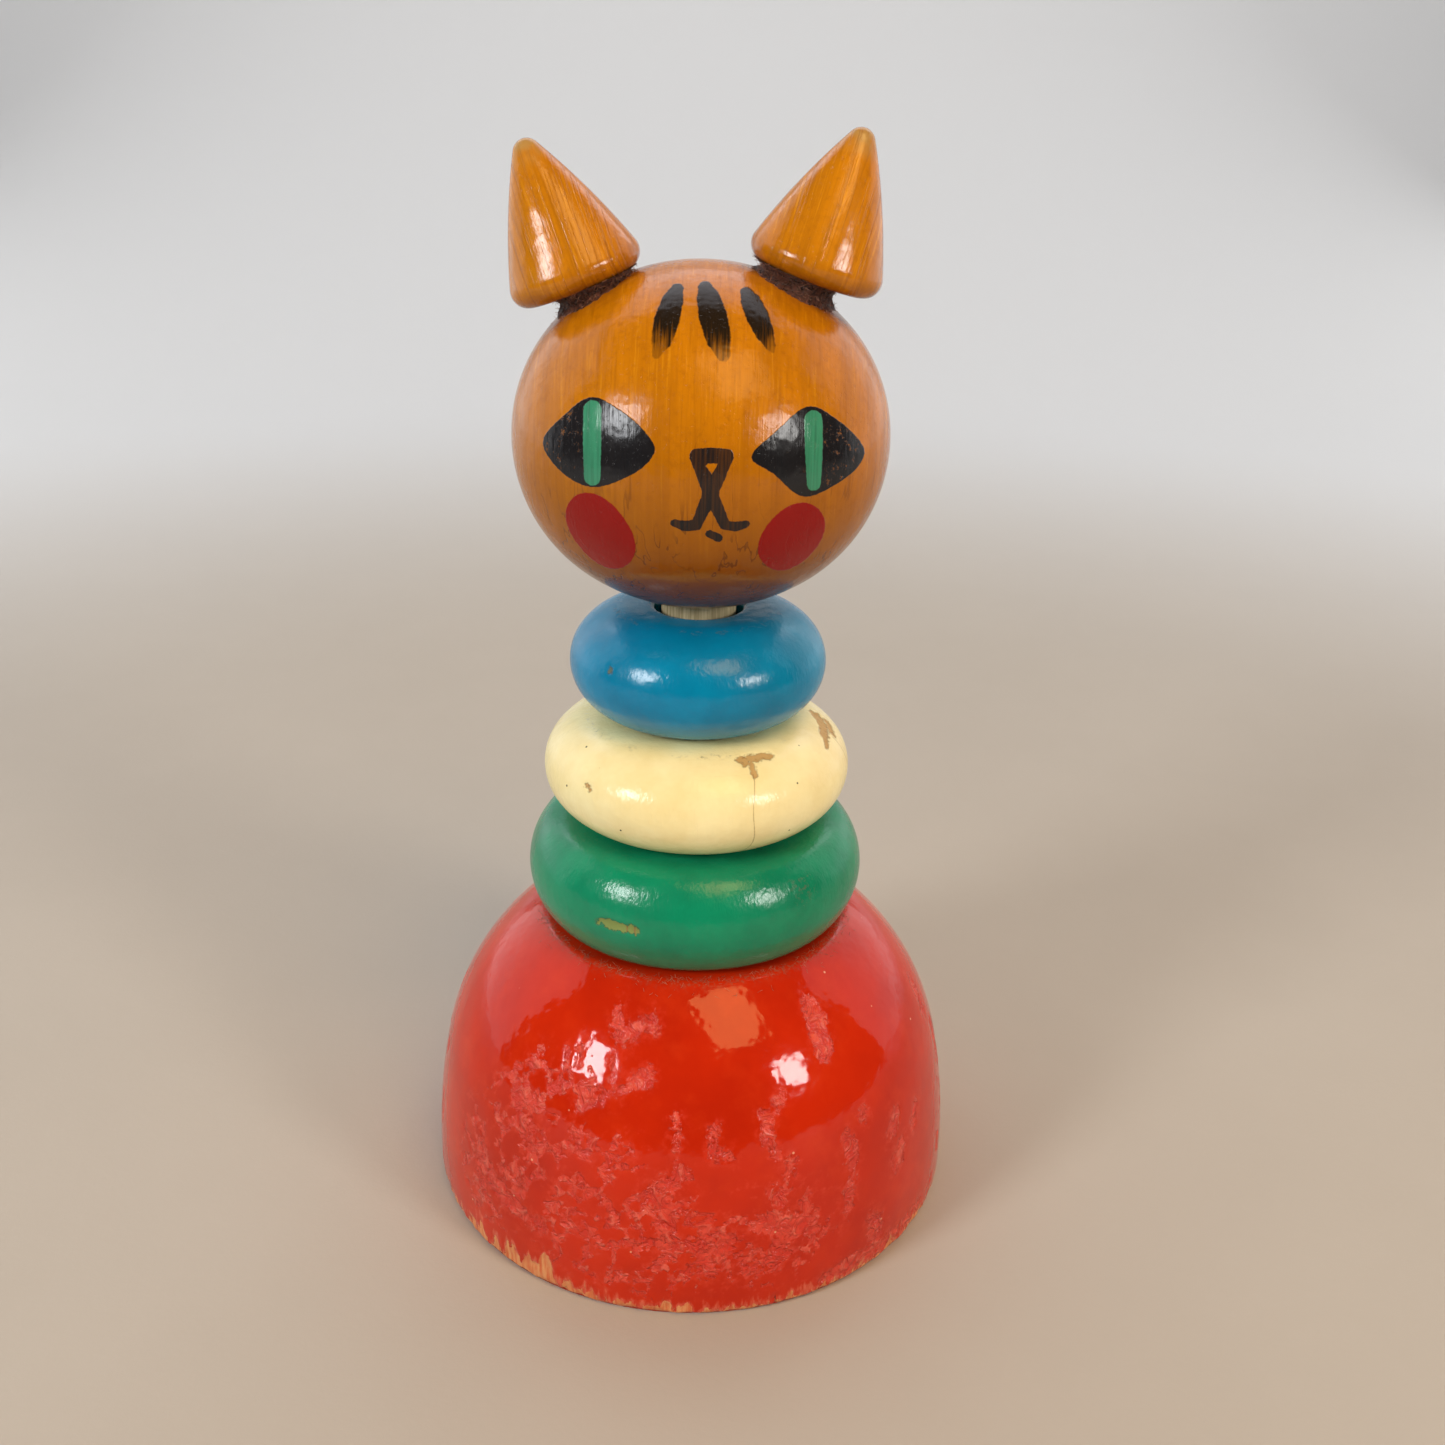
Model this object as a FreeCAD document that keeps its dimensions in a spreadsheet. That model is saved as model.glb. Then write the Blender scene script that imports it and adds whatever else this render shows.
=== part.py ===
import FreeCAD, Part

import math
import os
import re

import Sketcher
from FreeCAD import Placement, Rotation, Vector

# A wooden cat for stacking: a turned dome carries an upright dowel, three rings
# drop over the dowel and a ball head with two cone ears caps the stack.
# Millimetres, +Z up, origin at the middle of the dome's underside, face towards -Y.

SIZES = [
    ("dome_radius", 46.0, "widest radius of the dome"),
    ("dome_belly_level", 3.0, "height of the widest circle"),
    ("dome_flank_curve", 102.0, "radius of curvature of the lower flank"),
    ("dome_shoulder_level", 25.0, "height where the flank turns into the crown"),
    ("dome_crown_curve", 40.0, "radius of curvature of the crown"),
    ("dome_land_level", 50.0, "height of the flat that carries the rings"),
    ("dome_foot_round", 1.3, "rounding of the bottom edge"),
    ("dome_land_round", 3.0, "rounding of the edge of the flat"),
    ("post_radius", 6.0, "half of a 12 mm dowel"),
    ("post_socket_depth", 30.0, "glued length of the dowel in the dome"),
    ("post_chamfer", 1.0, "chamfer on the top of the dowel"),
    ("ring_thickness", 18.0, "thickness of every ring"),
    ("ring_bore_radius", 7.0, "half of the 14 mm hole in every ring"),
    ("ring_bore_round", 0.8, "rounding of the hole's edges"),
    ("green_radius", 28.25, "outer radius of the lowest ring"),
    ("green_nose_curve", 11.0, "curvature of its outer edge"),
    ("green_shoulder_curve", 5.7, "curvature of its upper and lower corners"),
    ("cream_radius", 25.25, "outer radius of the middle ring"),
    ("cream_nose_curve", 7.6, "curvature of its outer edge"),
    ("cream_shoulder_curve", 12.0, "curvature of its upper and lower corners"),
    ("blue_radius", 20.75, "outer radius of the top ring"),
    ("blue_nose_curve", 8.2, "curvature of its outer edge"),
    ("blue_shoulder_curve", 10.2, "curvature of its upper and lower corners"),
    ("head_radius", 28.75, "radius of the ball at its equator"),
    ("head_half_height", 25.9, "height of the crown above the equator"),
    ("head_crown_curve", 31.8, "radius of curvature at the crown and the chin"),
    ("head_flat_drop", 25.2, "depth of the flat underside below the equator"),
    ("head_level", 130.9, "height of the equator in the finished stack"),
    ("head_bore_depth", 22.0, "depth of the blind hole for the dowel"),
    ("head_bore_clearance", 0.08, "radial clearance of the dowel in the head"),
    ("ear_radius", 10.1, "radius of the cone's base"),
    ("ear_length", 21.7, "height of the cone"),
    ("ear_base_round", 2.5, "rounding of the cone's base edge"),
    ("ear_tip_round", 2.1, "radius of the rounded tip"),
    ("ear_flank_curve", 99.0, "radius of the cone's slightly full flank"),
    ("ear_left_offset", 17.9, "sideways distance of the left cone's base centre"),
    ("ear_left_rise", 21.65, "height of the left cone's base centre above the equator"),
    ("ear_left_lean", 22.1, "outward lean of the left cone in degrees"),
    ("ear_right_offset", 15.7, "sideways distance of the right cone's base centre"),
    ("ear_right_rise", 23.6, "height of the right cone's base centre above the equator"),
    ("ear_right_lean", 18.6, "outward lean of the right cone in degrees"),
    ("ear_peg_radius", 3.0, "half of a 6 mm dowel peg"),
    ("ear_peg_in_ear", 9.0, "glued length of the peg in the ear"),
    ("ear_peg_in_head", 11.0, "length of the peg below the ear's base"),
]

ALIASES = [alias for alias, _, _ in SIZES]

document = FreeCAD.newDocument("StackingCat")
sheet = document.addObject("Spreadsheet::Sheet", "sizes")
for row, (alias, number, meaning) in enumerate(SIZES, start=1):
    sheet.set("A%d" % row, meaning)
    sheet.set("B%d" % row, str(number))
    sheet.setAlias("B%d" % row, alias)
document.recompute()


def size(alias):
    """A driving dimension as a number, for a sketch's starting geometry."""
    return float(getattr(sheet, alias))


def cell(formula):
    """Write a formula of aliases as an expression on the sheet."""
    for alias in ALIASES:
        formula = re.sub(r"\b%s\b" % alias, "sizes." + alias, formula)
    return formula


def new_body(name, level="0"):
    """A turned piece, standing at a level above the ground."""
    body = document.addObject("PartDesign::Body", name)
    body.Label = name
    body.setExpression("Placement.Base.z", cell(level))
    return body


def turning_sketch(body, name):
    """A sketch on the body's XZ plane: local X is the radius, local Y the height."""
    sketch = body.newObject("Sketcher::SketchObject", name)
    planes = [item for item in body.Origin.OriginFeatures if item.Role == "XZ_Plane"]
    sketch.AttachmentSupport = (planes[0], [""])
    sketch.MapMode = "FlatFace"
    return sketch


def line(sketch, start, end):
    segment = Part.LineSegment(Vector(start[0], start[1], 0), Vector(end[0], end[1], 0))
    return sketch.addGeometry(segment, False)


def arc(sketch, centre, radius, start_angle, end_angle):
    circle = Part.Circle(Vector(centre[0], centre[1], 0), Vector(0, 0, 1), radius)
    return sketch.addGeometry(Part.ArcOfCircle(circle, start_angle, end_angle), False)


def constrain(sketch, *terms):
    return sketch.addConstraint(Sketcher.Constraint(*terms))


def dimension(sketch, formula, *terms):
    """Add a dimension at its starting value and bind it to the sheet."""
    index = constrain(sketch, *terms)
    sketch.setExpression("Constraints[%d]" % index, cell(formula))


START, END, CENTRE = 1, 2, 3
ORIGIN = (-1, 1)
HEIGHT_AXIS = -2
RADIUS_AXIS = -1


def close_profile(sketch, curves, joins):
    """Join each curve's end to the next one's start, tangent or just touching."""
    for number, join in enumerate(joins):
        following = curves[(number + 1) % len(curves)]
        constrain(sketch, join, curves[number], END, following, START)


def turn(body, sketch, kind, name):
    """Revolve or groove a sketch about the body's upright axis."""
    document.recompute()
    before = body.Shape.Volume if body.Tip else 0.0
    feature = body.newObject("PartDesign::" + kind, name)
    feature.Profile = sketch
    feature.ReferenceAxis = (sketch, ["V_Axis"])
    feature.Angle = 360.0
    sketch.Visibility = False
    document.recompute()
    if kind == "Groove" and body.Shape.Volume > before - 1.0:
        raise ValueError("%s cut nothing" % name)
    return feature


def turned_block(body, name, kind, radius, low, high):
    """A cylinder about the axis, as a block of wood or as a drilled hole."""
    sketch = turning_sketch(body, name + "Sketch")
    corners = [(0, 0), (5, 0), (5, 10), (0, 10)]
    sides = [line(sketch, corners[i], corners[(i + 1) % 4]) for i in range(4)]
    close_profile(sketch, sides, ["Coincident"] * 4)
    constrain(sketch, "Horizontal", sides[0])
    constrain(sketch, "Vertical", sides[1])
    constrain(sketch, "Horizontal", sides[2])
    constrain(sketch, "PointOnObject", sides[3], START, HEIGHT_AXIS)
    constrain(sketch, "PointOnObject", sides[3], END, HEIGHT_AXIS)
    dimension(sketch, radius, "DistanceX", sides[0], START, sides[0], END, 5.0)
    dimension(sketch, low, "DistanceY", *ORIGIN, sides[0], START, 0.0)
    dimension(sketch, high, "DistanceY", *ORIGIN, sides[2], START, 10.0)
    return turn(body, sketch, kind, name)


def edge_at(shape, level, pick):
    """The name of the circular edge at a level whose radius pick chooses."""
    found = []
    for number, edge in enumerate(shape.Edges, start=1):
        circle = edge.Curve
        if isinstance(circle, Part.Circle) and abs(circle.Center.z - level) < 1e-4:
            found.append((circle.Radius, "Edge%d" % number))
    return pick(found)[1]


def soften(body, kind, name, picks, formula, attribute):
    """Fillet or chamfer circular edges, each given as (level, min or max radius)."""
    base = body.Tip
    feature = body.newObject("PartDesign::" + kind, name)
    feature.Base = (base, [edge_at(base.Shape, level, pick) for level, pick in picks])
    feature.setExpression(attribute, cell(formula))
    document.recompute()
    return feature


def make_dome():
    """The base: a solid dome with a flat on top and a blind socket for the dowel."""
    body = new_body("base_dome")
    sketch = turning_sketch(body, "DomeProfile")
    radius, flank, crown = size("dome_radius"), size("dome_flank_curve"), size("dome_crown_curve")
    belly, shoulder = size("dome_belly_level"), size("dome_shoulder_level")
    land = size("dome_land_level")
    foot_angle = math.asin(-belly / flank)
    shoulder_angle = math.asin((shoulder - belly) / flank)
    flank_centre = (radius - flank, belly)
    crown_centre = (flank_centre[0] + (flank - crown) * math.cos(shoulder_angle),
                    flank_centre[1] + (flank - crown) * math.sin(shoulder_angle))
    land_angle = math.asin((land - crown_centre[1]) / crown)
    foot_x = flank_centre[0] + flank * math.cos(foot_angle)
    land_x = crown_centre[0] + crown * math.cos(land_angle)

    foot = line(sketch, (0, 0), (foot_x, 0))
    side = arc(sketch, flank_centre, flank, foot_angle, shoulder_angle)
    top = arc(sketch, crown_centre, crown, shoulder_angle, land_angle)
    flat = line(sketch, (land_x, land), (0, land))
    axis = line(sketch, (0, land), (0, 0))
    close_profile(sketch, [foot, side, top, flat, axis],
                  ["Coincident", "Tangent", "Coincident", "Coincident", "Coincident"])
    constrain(sketch, "Coincident", foot, START, *ORIGIN)
    constrain(sketch, "Horizontal", foot)
    constrain(sketch, "Horizontal", flat)
    constrain(sketch, "Vertical", axis)
    dimension(sketch, "dome_flank_curve - dome_radius",
              "DistanceX", side, CENTRE, *ORIGIN, flank - radius)
    dimension(sketch, "dome_belly_level", "DistanceY", *ORIGIN, side, CENTRE, belly)
    dimension(sketch, "dome_flank_curve", "Radius", side, flank)
    dimension(sketch, "dome_crown_curve", "Radius", top, crown)
    dimension(sketch, "dome_shoulder_level", "DistanceY", *ORIGIN, side, END, shoulder)
    dimension(sketch, "dome_land_level", "DistanceY", *ORIGIN, axis, START, land)
    turn(body, sketch, "Revolution", "Dome")
    soften(body, "Fillet", "FootRound", [(0.0, max)], "dome_foot_round", "Radius")
    soften(body, "Fillet", "LandRound", [(land, max)], "dome_land_round", "Radius")
    turned_block(body, "PostSocket", "Groove", "post_radius",
                 "dome_land_level - post_socket_depth", "dome_land_level + 1")
    return body


def make_post():
    """The dowel, from the bottom of its socket to the bottom of the head's hole."""
    body = new_body("centre_post")
    top = "head_level - head_flat_drop + head_bore_depth"
    turned_block(body, "Dowel", "Revolution", "post_radius",
                 "dome_land_level - post_socket_depth", top)
    top_level = size("head_level") - size("head_flat_drop") + size("head_bore_depth")
    soften(body, "Chamfer", "TopChamfer", [(top_level, max)], "post_chamfer", "Size")
    return body


def make_ring(colour, place):
    """A turned ring with flat faces by the hole and a bulging outer edge."""
    body = new_body("ring_" + colour, "dome_land_level + %d * ring_thickness" % place)
    sketch = turning_sketch(body, "RingProfile")
    radius = size(colour + "_radius")
    nose = size(colour + "_nose_curve")
    shoulder = size(colour + "_shoulder_curve")
    thickness, bore = size("ring_thickness"), size("ring_bore_radius")
    middle = thickness / 2
    side = 1 if nose > shoulder else -1
    reach = math.sqrt((nose - shoulder) ** 2 - (middle - shoulder) ** 2)
    nose_centre = (radius - nose, middle)
    shoulder_x = nose_centre[0] + side * reach
    turn_angle = math.atan2(side * (middle - shoulder), reach)

    below = line(sketch, (bore, 0), (shoulder_x, 0))
    low = arc(sketch, (shoulder_x, shoulder), shoulder, -math.pi / 2, -turn_angle)
    bulge = arc(sketch, nose_centre, nose, -turn_angle, turn_angle)
    high = arc(sketch, (shoulder_x, thickness - shoulder), shoulder, turn_angle, math.pi / 2)
    above = line(sketch, (shoulder_x, thickness), (bore, thickness))
    hole = line(sketch, (bore, thickness), (bore, 0))
    close_profile(sketch, [below, low, bulge, high, above, hole],
                  ["Tangent"] * 4 + ["Coincident"] * 2)
    constrain(sketch, "Horizontal", below)
    constrain(sketch, "Horizontal", above)
    constrain(sketch, "Vertical", hole)
    constrain(sketch, "PointOnObject", below, START, RADIUS_AXIS)
    dimension(sketch, "ring_bore_radius", "DistanceX", *ORIGIN, hole, START, bore)
    dimension(sketch, "ring_thickness", "DistanceY", *ORIGIN, above, START, thickness)
    dimension(sketch, "%s_radius - %s_nose_curve" % (colour, colour),
              "DistanceX", *ORIGIN, bulge, CENTRE, radius - nose)
    dimension(sketch, "ring_thickness / 2", "DistanceY", *ORIGIN, bulge, CENTRE, middle)
    dimension(sketch, colour + "_nose_curve", "Radius", bulge, nose)
    for corner in (low, high):
        dimension(sketch, colour + "_shoulder_curve", "Radius", corner, shoulder)
    turn(body, sketch, "Revolution", "Ring")
    soften(body, "Fillet", "BoreRound", [(0.0, min), (thickness, min)],
           "ring_bore_round", "Radius")
    return body


def make_ball():
    """The head's ball: wider than tall, with a flat and a blind hole underneath."""
    body = new_body("Ball", "head_level")
    sketch = turning_sketch(body, "BallProfile")
    radius, half, crown = size("head_radius"), size("head_half_height"), size("head_crown_curve")
    drop = size("head_flat_drop")
    lift = crown - half
    cheek = (crown ** 2 - radius ** 2 - lift ** 2) / (2 * (crown - radius))
    turn_angle = math.atan2(lift, radius - cheek)
    flat_x = math.sqrt(crown ** 2 - (drop + lift) ** 2)
    chin_angle = math.atan2(-drop - lift, flat_x)

    flat = line(sketch, (0, -drop), (flat_x, -drop))
    chin = arc(sketch, (0, lift), crown, chin_angle, -turn_angle)
    side = arc(sketch, (radius - cheek, 0), cheek, -turn_angle, turn_angle)
    top = arc(sketch, (0, -lift), crown, turn_angle, math.pi / 2)
    axis = line(sketch, (0, half), (0, -drop))
    close_profile(sketch, [flat, chin, side, top, axis],
                  ["Coincident", "Tangent", "Tangent", "Coincident", "Coincident"])
    constrain(sketch, "Horizontal", flat)
    constrain(sketch, "Vertical", axis)
    constrain(sketch, "PointOnObject", axis, START, HEIGHT_AXIS)
    for cap in (chin, top):
        constrain(sketch, "PointOnObject", cap, CENTRE, HEIGHT_AXIS)
        dimension(sketch, "head_crown_curve", "Radius", cap, crown)
    lift_formula = "head_crown_curve - head_half_height"
    dimension(sketch, lift_formula, "DistanceY", *ORIGIN, chin, CENTRE, lift)
    dimension(sketch, lift_formula, "DistanceY", top, CENTRE, *ORIGIN, lift)
    dimension(sketch, "head_flat_drop", "DistanceY", flat, START, *ORIGIN, drop)
    dimension(sketch, "(head_crown_curve ^ 2 - head_radius ^ 2"
              " - (head_crown_curve - head_half_height) ^ 2)"
              " / (2 * (head_crown_curve - head_radius))", "Radius", side, cheek)
    turn(body, sketch, "Revolution", "BallSolid")
    turned_block(body, "PostHole", "Groove", "post_radius + head_bore_clearance",
                 "0 - head_flat_drop - 1", "head_bore_depth - head_flat_drop")
    return body


def make_peg(word, side):
    """A dowel peg along the ear's axis; side is -1 or +1 along X."""
    name, ear = "ear_peg_" + word, "ear_" + word
    peg = document.addObject("Part::Cylinder", name)
    peg.Label = name
    peg.Placement = Placement(Vector(0, 0, 0), Rotation(Vector(0, side, 0), size(ear + "_lean")))
    peg.setExpression("Radius", cell("ear_peg_radius"))
    peg.setExpression("Height", cell("ear_peg_in_head + ear_peg_in_ear"))
    peg.setExpression("Placement.Base.x", cell(
        "%d * (%s_offset - ear_peg_in_head * sin(%s_lean * 1 deg))" % (side, ear, ear)))
    peg.setExpression("Placement.Base.z", cell(
        "head_level + %s_rise - ear_peg_in_head * cos(%s_lean * 1 deg)" % (ear, ear)))
    peg.setExpression("Placement.Rotation.Angle", cell(ear + "_lean * 1 deg"))
    return peg


def make_head(pegs):
    """The ball with a drilled hole for each ear peg."""
    ball = make_ball()
    drills = document.addObject("Part::MultiFuse", "PegHoles")
    drills.Shapes = pegs
    head = document.addObject("Part::Cut", "head_ball")
    head.Label = "head_ball"
    head.Base = ball
    head.Tool = drills
    return head


def make_ear(word, side):
    """A solid, slightly full cone with a rounded base edge and tip, drilled for its peg."""
    name = "ear_" + word
    body = document.addObject("PartDesign::Body", name)
    body.Label = name
    sketch = turning_sketch(body, "EarProfile")
    radius, length = size("ear_radius"), size("ear_length")
    corner, tip = size("ear_base_round"), size("ear_tip_round")
    fullness = size("ear_flank_curve")
    corner_centre = (radius - corner, corner)
    tip_centre = (0, length - tip)
    spread = math.dist(corner_centre, tip_centre)
    along = ((tip_centre[0] - corner_centre[0]) / spread,
             (tip_centre[1] - corner_centre[1]) / spread)
    share = ((fullness - corner) ** 2 - (fullness - tip) ** 2 + spread ** 2) / (2 * spread)
    depth = math.sqrt((fullness - corner) ** 2 - share ** 2)
    flank_centre = (corner_centre[0] + along[0] * share - along[1] * depth,
                    corner_centre[1] + along[1] * share + along[0] * depth)
    low_angle = math.atan2(corner_centre[1] - flank_centre[1], corner_centre[0] - flank_centre[0])
    high_angle = math.atan2(tip_centre[1] - flank_centre[1], tip_centre[0] - flank_centre[0])

    floor = line(sketch, (0, 0), (corner_centre[0], 0))
    edge = arc(sketch, corner_centre, corner, -math.pi / 2, low_angle)
    flank = arc(sketch, flank_centre, fullness, low_angle, high_angle)
    point = arc(sketch, tip_centre, tip, high_angle, math.pi / 2)
    axis = line(sketch, (0, length), (0, 0))
    close_profile(sketch, [floor, edge, flank, point, axis],
                  ["Tangent", "Tangent", "Tangent", "Coincident", "Coincident"])
    constrain(sketch, "Coincident", floor, START, *ORIGIN)
    constrain(sketch, "Horizontal", floor)
    constrain(sketch, "Vertical", axis)
    constrain(sketch, "PointOnObject", point, CENTRE, HEIGHT_AXIS)
    dimension(sketch, "ear_base_round", "Radius", edge, corner)
    dimension(sketch, "ear_flank_curve", "Radius", flank, fullness)
    dimension(sketch, "ear_tip_round", "Radius", point, tip)
    dimension(sketch, "ear_radius - ear_base_round",
              "DistanceX", *ORIGIN, edge, CENTRE, radius - corner)
    dimension(sketch, "ear_length - ear_tip_round",
              "DistanceY", *ORIGIN, point, CENTRE, length - tip)
    turn(body, sketch, "Revolution", "Cone")
    turned_block(body, "PegHole", "Groove", "ear_peg_radius", "0 - 1", "ear_peg_in_ear")
    body.Placement = Placement(Vector(0, 0, 0), Rotation(Vector(0, side, 0), size(name + "_lean")))
    body.setExpression("Placement.Base.x", cell("%d * %s_offset" % (side, name)))
    body.setExpression("Placement.Base.z", cell("head_level + %s_rise" % name))
    body.setExpression("Placement.Rotation.Angle", cell(name + "_lean * 1 deg"))
    return body


def save(pieces):
    """Check every object and each piece's shape, then write one file per piece."""
    document.recompute()
    for item in document.Objects:
        if "Invalid" in item.State or "Error" in item.State:
            raise ValueError("%s failed: %s" % (item.Name, item.State))
    os.makedirs("parts", exist_ok=True)
    for piece in pieces:
        shape = piece.Shape
        if shape.isNull() or not shape.isValid() or len(shape.Solids) != 1:
            raise ValueError("%s has no single valid solid" % piece.Label)
        shape.exportStep("parts/%s.step" % piece.Label)
        box = shape.BoundBox
        print("%-15s %8.0f mm3  x %6.1f %6.1f  y %6.1f %6.1f  z %6.1f %6.1f" % (
            piece.Label, shape.Volume, box.XMin, box.XMax, box.YMin, box.YMax,
            box.ZMin, box.ZMax))


dome = make_dome()
post = make_post()
rings = [make_ring(colour, place) for place, colour in enumerate(("green", "cream", "blue"))]
pegs = [make_peg("left", -1), make_peg("right", 1)]
document.recompute()
head = make_head(pegs)
ears = [make_ear("left", -1), make_ear("right", 1)]
save([dome, post, *rings, head, *ears, *pegs])
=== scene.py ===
import math
import random
from functools import partial

import bmesh
import bpy
import numpy as np
from bpy.props import FloatProperty, FloatVectorProperty, IntProperty, PointerProperty
from mathutils import Matrix, Vector, noise


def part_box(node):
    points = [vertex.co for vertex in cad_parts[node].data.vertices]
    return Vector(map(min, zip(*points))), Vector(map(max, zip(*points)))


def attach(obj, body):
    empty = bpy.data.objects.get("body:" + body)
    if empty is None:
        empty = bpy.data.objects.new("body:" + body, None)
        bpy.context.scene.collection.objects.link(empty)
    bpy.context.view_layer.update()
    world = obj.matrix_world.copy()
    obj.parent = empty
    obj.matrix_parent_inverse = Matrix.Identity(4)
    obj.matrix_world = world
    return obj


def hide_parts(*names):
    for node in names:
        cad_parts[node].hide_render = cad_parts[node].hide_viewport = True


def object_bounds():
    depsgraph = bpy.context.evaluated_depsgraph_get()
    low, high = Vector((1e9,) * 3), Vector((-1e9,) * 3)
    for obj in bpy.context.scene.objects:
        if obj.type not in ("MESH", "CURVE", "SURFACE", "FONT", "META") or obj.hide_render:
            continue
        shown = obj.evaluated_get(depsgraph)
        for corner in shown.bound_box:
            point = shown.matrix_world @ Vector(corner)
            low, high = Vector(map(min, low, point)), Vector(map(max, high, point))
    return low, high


bl_info = {
    "name": "Stacking cat",
    "version": (1, 0, 0),
    "blender": (4, 5, 0),
    "location": "3D View > Sidebar > Stacking cat",
    "description": "A worn wooden cat for stacking: dome, rings and head",
    "category": "Add Mesh",
}

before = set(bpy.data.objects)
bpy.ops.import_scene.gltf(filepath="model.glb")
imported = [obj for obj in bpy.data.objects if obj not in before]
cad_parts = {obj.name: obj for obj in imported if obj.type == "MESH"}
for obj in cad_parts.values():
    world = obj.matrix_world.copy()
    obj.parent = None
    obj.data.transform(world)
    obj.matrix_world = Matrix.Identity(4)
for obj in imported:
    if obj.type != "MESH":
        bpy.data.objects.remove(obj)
CAD_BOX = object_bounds()
MM = 0.001
TURN = 2 * math.pi
QUARTER = math.pi / 2


def reach(node_name):
    """A turned node's outer radius and its lowest and highest level."""
    low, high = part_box(node_name)
    return high[0], low[2], high[2]


DOME_RADIUS, _, DOME_LAND = reach("base_dome")
POST_RADIUS, POST_FOOT, POST_TOP = reach("centre_post")
HEAD_RADIUS, CHIN_LEVEL, CROWN_LEVEL = reach("head_ball")
RING_LEVELS = {colour: reach("ring_" + colour) for colour in ("green", "cream", "blue")}
HEAD_HALF = 25.9 * MM
HEAD_LEVEL = CROWN_LEVEL - HEAD_HALF
EAR_SIDES = {"left": -1, "right": 1}
# Steps round each turned piece, as fine as its wear and its paint need.
STEPS = {"dome": 460, "post": 96, "ring": 320, "head": 360, "ear": 160}


def linear(code):
    """An sRGB hex colour as linear red, green, blue and alpha."""
    shades = [int(code[place:place + 2], 16) / 255 for place in (1, 3, 5)]
    return [s / 12.92 if s <= 0.04045 else ((s + 0.055) / 1.055) ** 2.4 for s in shades] + [1.0]


def length(name, description, default):
    """A setting in metres."""
    return FloatProperty(name=name, description=description, default=default,
                         unit="LENGTH", precision=5)


def colour(name, description, code):
    """A setting for a colour, from its hex code."""
    return FloatVectorProperty(name=name, description=description, subtype="COLOR",
                               size=4, min=0.0, max=1.0, default=linear(code))


class DomeSettings(bpy.types.PropertyGroup):
    belly: length("Belly level", "Height of the widest circle", 3 * MM)
    flank: length("Flank curve", "Curvature of the lower flank", 102 * MM)
    shoulder: length("Shoulder level", "Height where the flank meets the crown", 25 * MM)
    crown: length("Crown curve", "Curvature of the crown", 40 * MM)
    foot_round: length("Foot rounding", "Rounding of the bottom edge", 1.3 * MM)
    land_round: length("Land rounding", "Rounding of the flat's edge", 3 * MM)
    flake_depth: length("Flake depth", "How deep the lacquer has flaked", 0.08 * MM)
    lacquer: colour("Lacquer", "Orange-red lacquer", "#C92804")
    flaked: colour("Flaked lacquer", "Paler colour where it has crumpled", "#DA4633")
    wood: colour("Bare wood", "Wood that shows at the foot", "#E39A62")


class RingSettings(bpy.types.PropertyGroup):
    bore: length("Hole radius", "Half of the hole", 7 * MM)
    bore_round: length("Hole rounding", "Rounding of the hole's edges", 0.8 * MM)
    green: colour("Green", "Enamel of the lowest ring", "#0C8C62")
    cream: colour("Cream", "Enamel of the middle ring", "#FBEDB4")
    blue: colour("Blue", "Enamel of the top ring", "#0086AE")
    green_chip: colour("Chip in the green", "Stained wood in a chip", "#7F8F4A")
    cream_chip: colour("Chip in the cream", "Wood in a chip", "#C39D60")
    blue_chip: colour("Pinhole in the blue", "Grey wood in a pinhole", "#55685E")


class HeadSettings(bpy.types.PropertyGroup):
    crown: length("Crown curve", "Curvature of the crown and chin", 31.8 * MM)
    bore: length("Hole radius", "Half of the blind hole", 6.08 * MM)
    bore_depth: length("Hole depth", "Depth of the blind hole", 22 * MM)
    amber: colour("Amber", "Wood under aged varnish", "#C67804")
    grain: colour("Grain", "Darker grain under the varnish", "#A05E04")
    black: colour("Black paint", "Eyes and nose", "#13171B")
    eye: colour("Green paint", "Slit of the eye", "#3D8F6B")
    cheek: colour("Red paint", "Cheeks", "#8E0000")


def angle(name, description, degrees):
    """A setting for an angle, kept in radians."""
    return FloatProperty(name=name, description=description, default=math.radians(degrees),
                         subtype="ANGLE")


class EarSettings(bpy.types.PropertyGroup):
    radius: length("Base radius", "Radius of the cone's base", 10.1 * MM)
    height: length("Height", "Height of the cone", 21.7 * MM)
    base_round: length("Base rounding", "Rounding of the base edge", 2.5 * MM)
    tip_round: length("Tip rounding", "Radius of the tip", 2.1 * MM)
    flank: length("Flank curve", "Curvature of the slightly full flank", 99 * MM)
    left_offset: length("Left offset", "Sideways place of the left base's centre", 17.9 * MM)
    left_rise: length("Left rise", "Height of that centre above the equator", 21.65 * MM)
    left_lean: angle("Left lean", "Outward lean of the left cone", 22.1)
    right_offset: length("Right offset", "Sideways place of the right base's centre", 15.7 * MM)
    right_rise: length("Right rise", "Height of that centre above the equator", 23.6 * MM)
    right_lean: angle("Right lean", "Outward lean of the right cone", 18.6)
    glue: colour("Glue", "Old glue with dust in it", "#6A3820")


class StageSettings(bpy.types.PropertyGroup):
    distance: length("Camera distance", "From the lens to the point it looks at", 0.2377)
    aim_side: length("Aim sideways", "Sideways place of that point", 4.2 * MM)
    aim_front: length("Aim front", "Place of that point in front of the post", 2.4 * MM)
    aim_level: length("Aim level", "Height of that point", 84.47 * MM)
    pitch: angle("Pitch", "Downward look of the camera", 23.23)
    roll: angle("Roll", "Tilt of the camera about its view", 1.25)
    lens: FloatProperty(name="Lens", description="Focal length in mm on a 36 mm frame",
                        default=36.12)
    floor: colour("Floor", "Pale card under the toy", "#B4AA9C")
    wall: colour("Wall", "Pale card behind the toy", "#D2D1CE")


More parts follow.
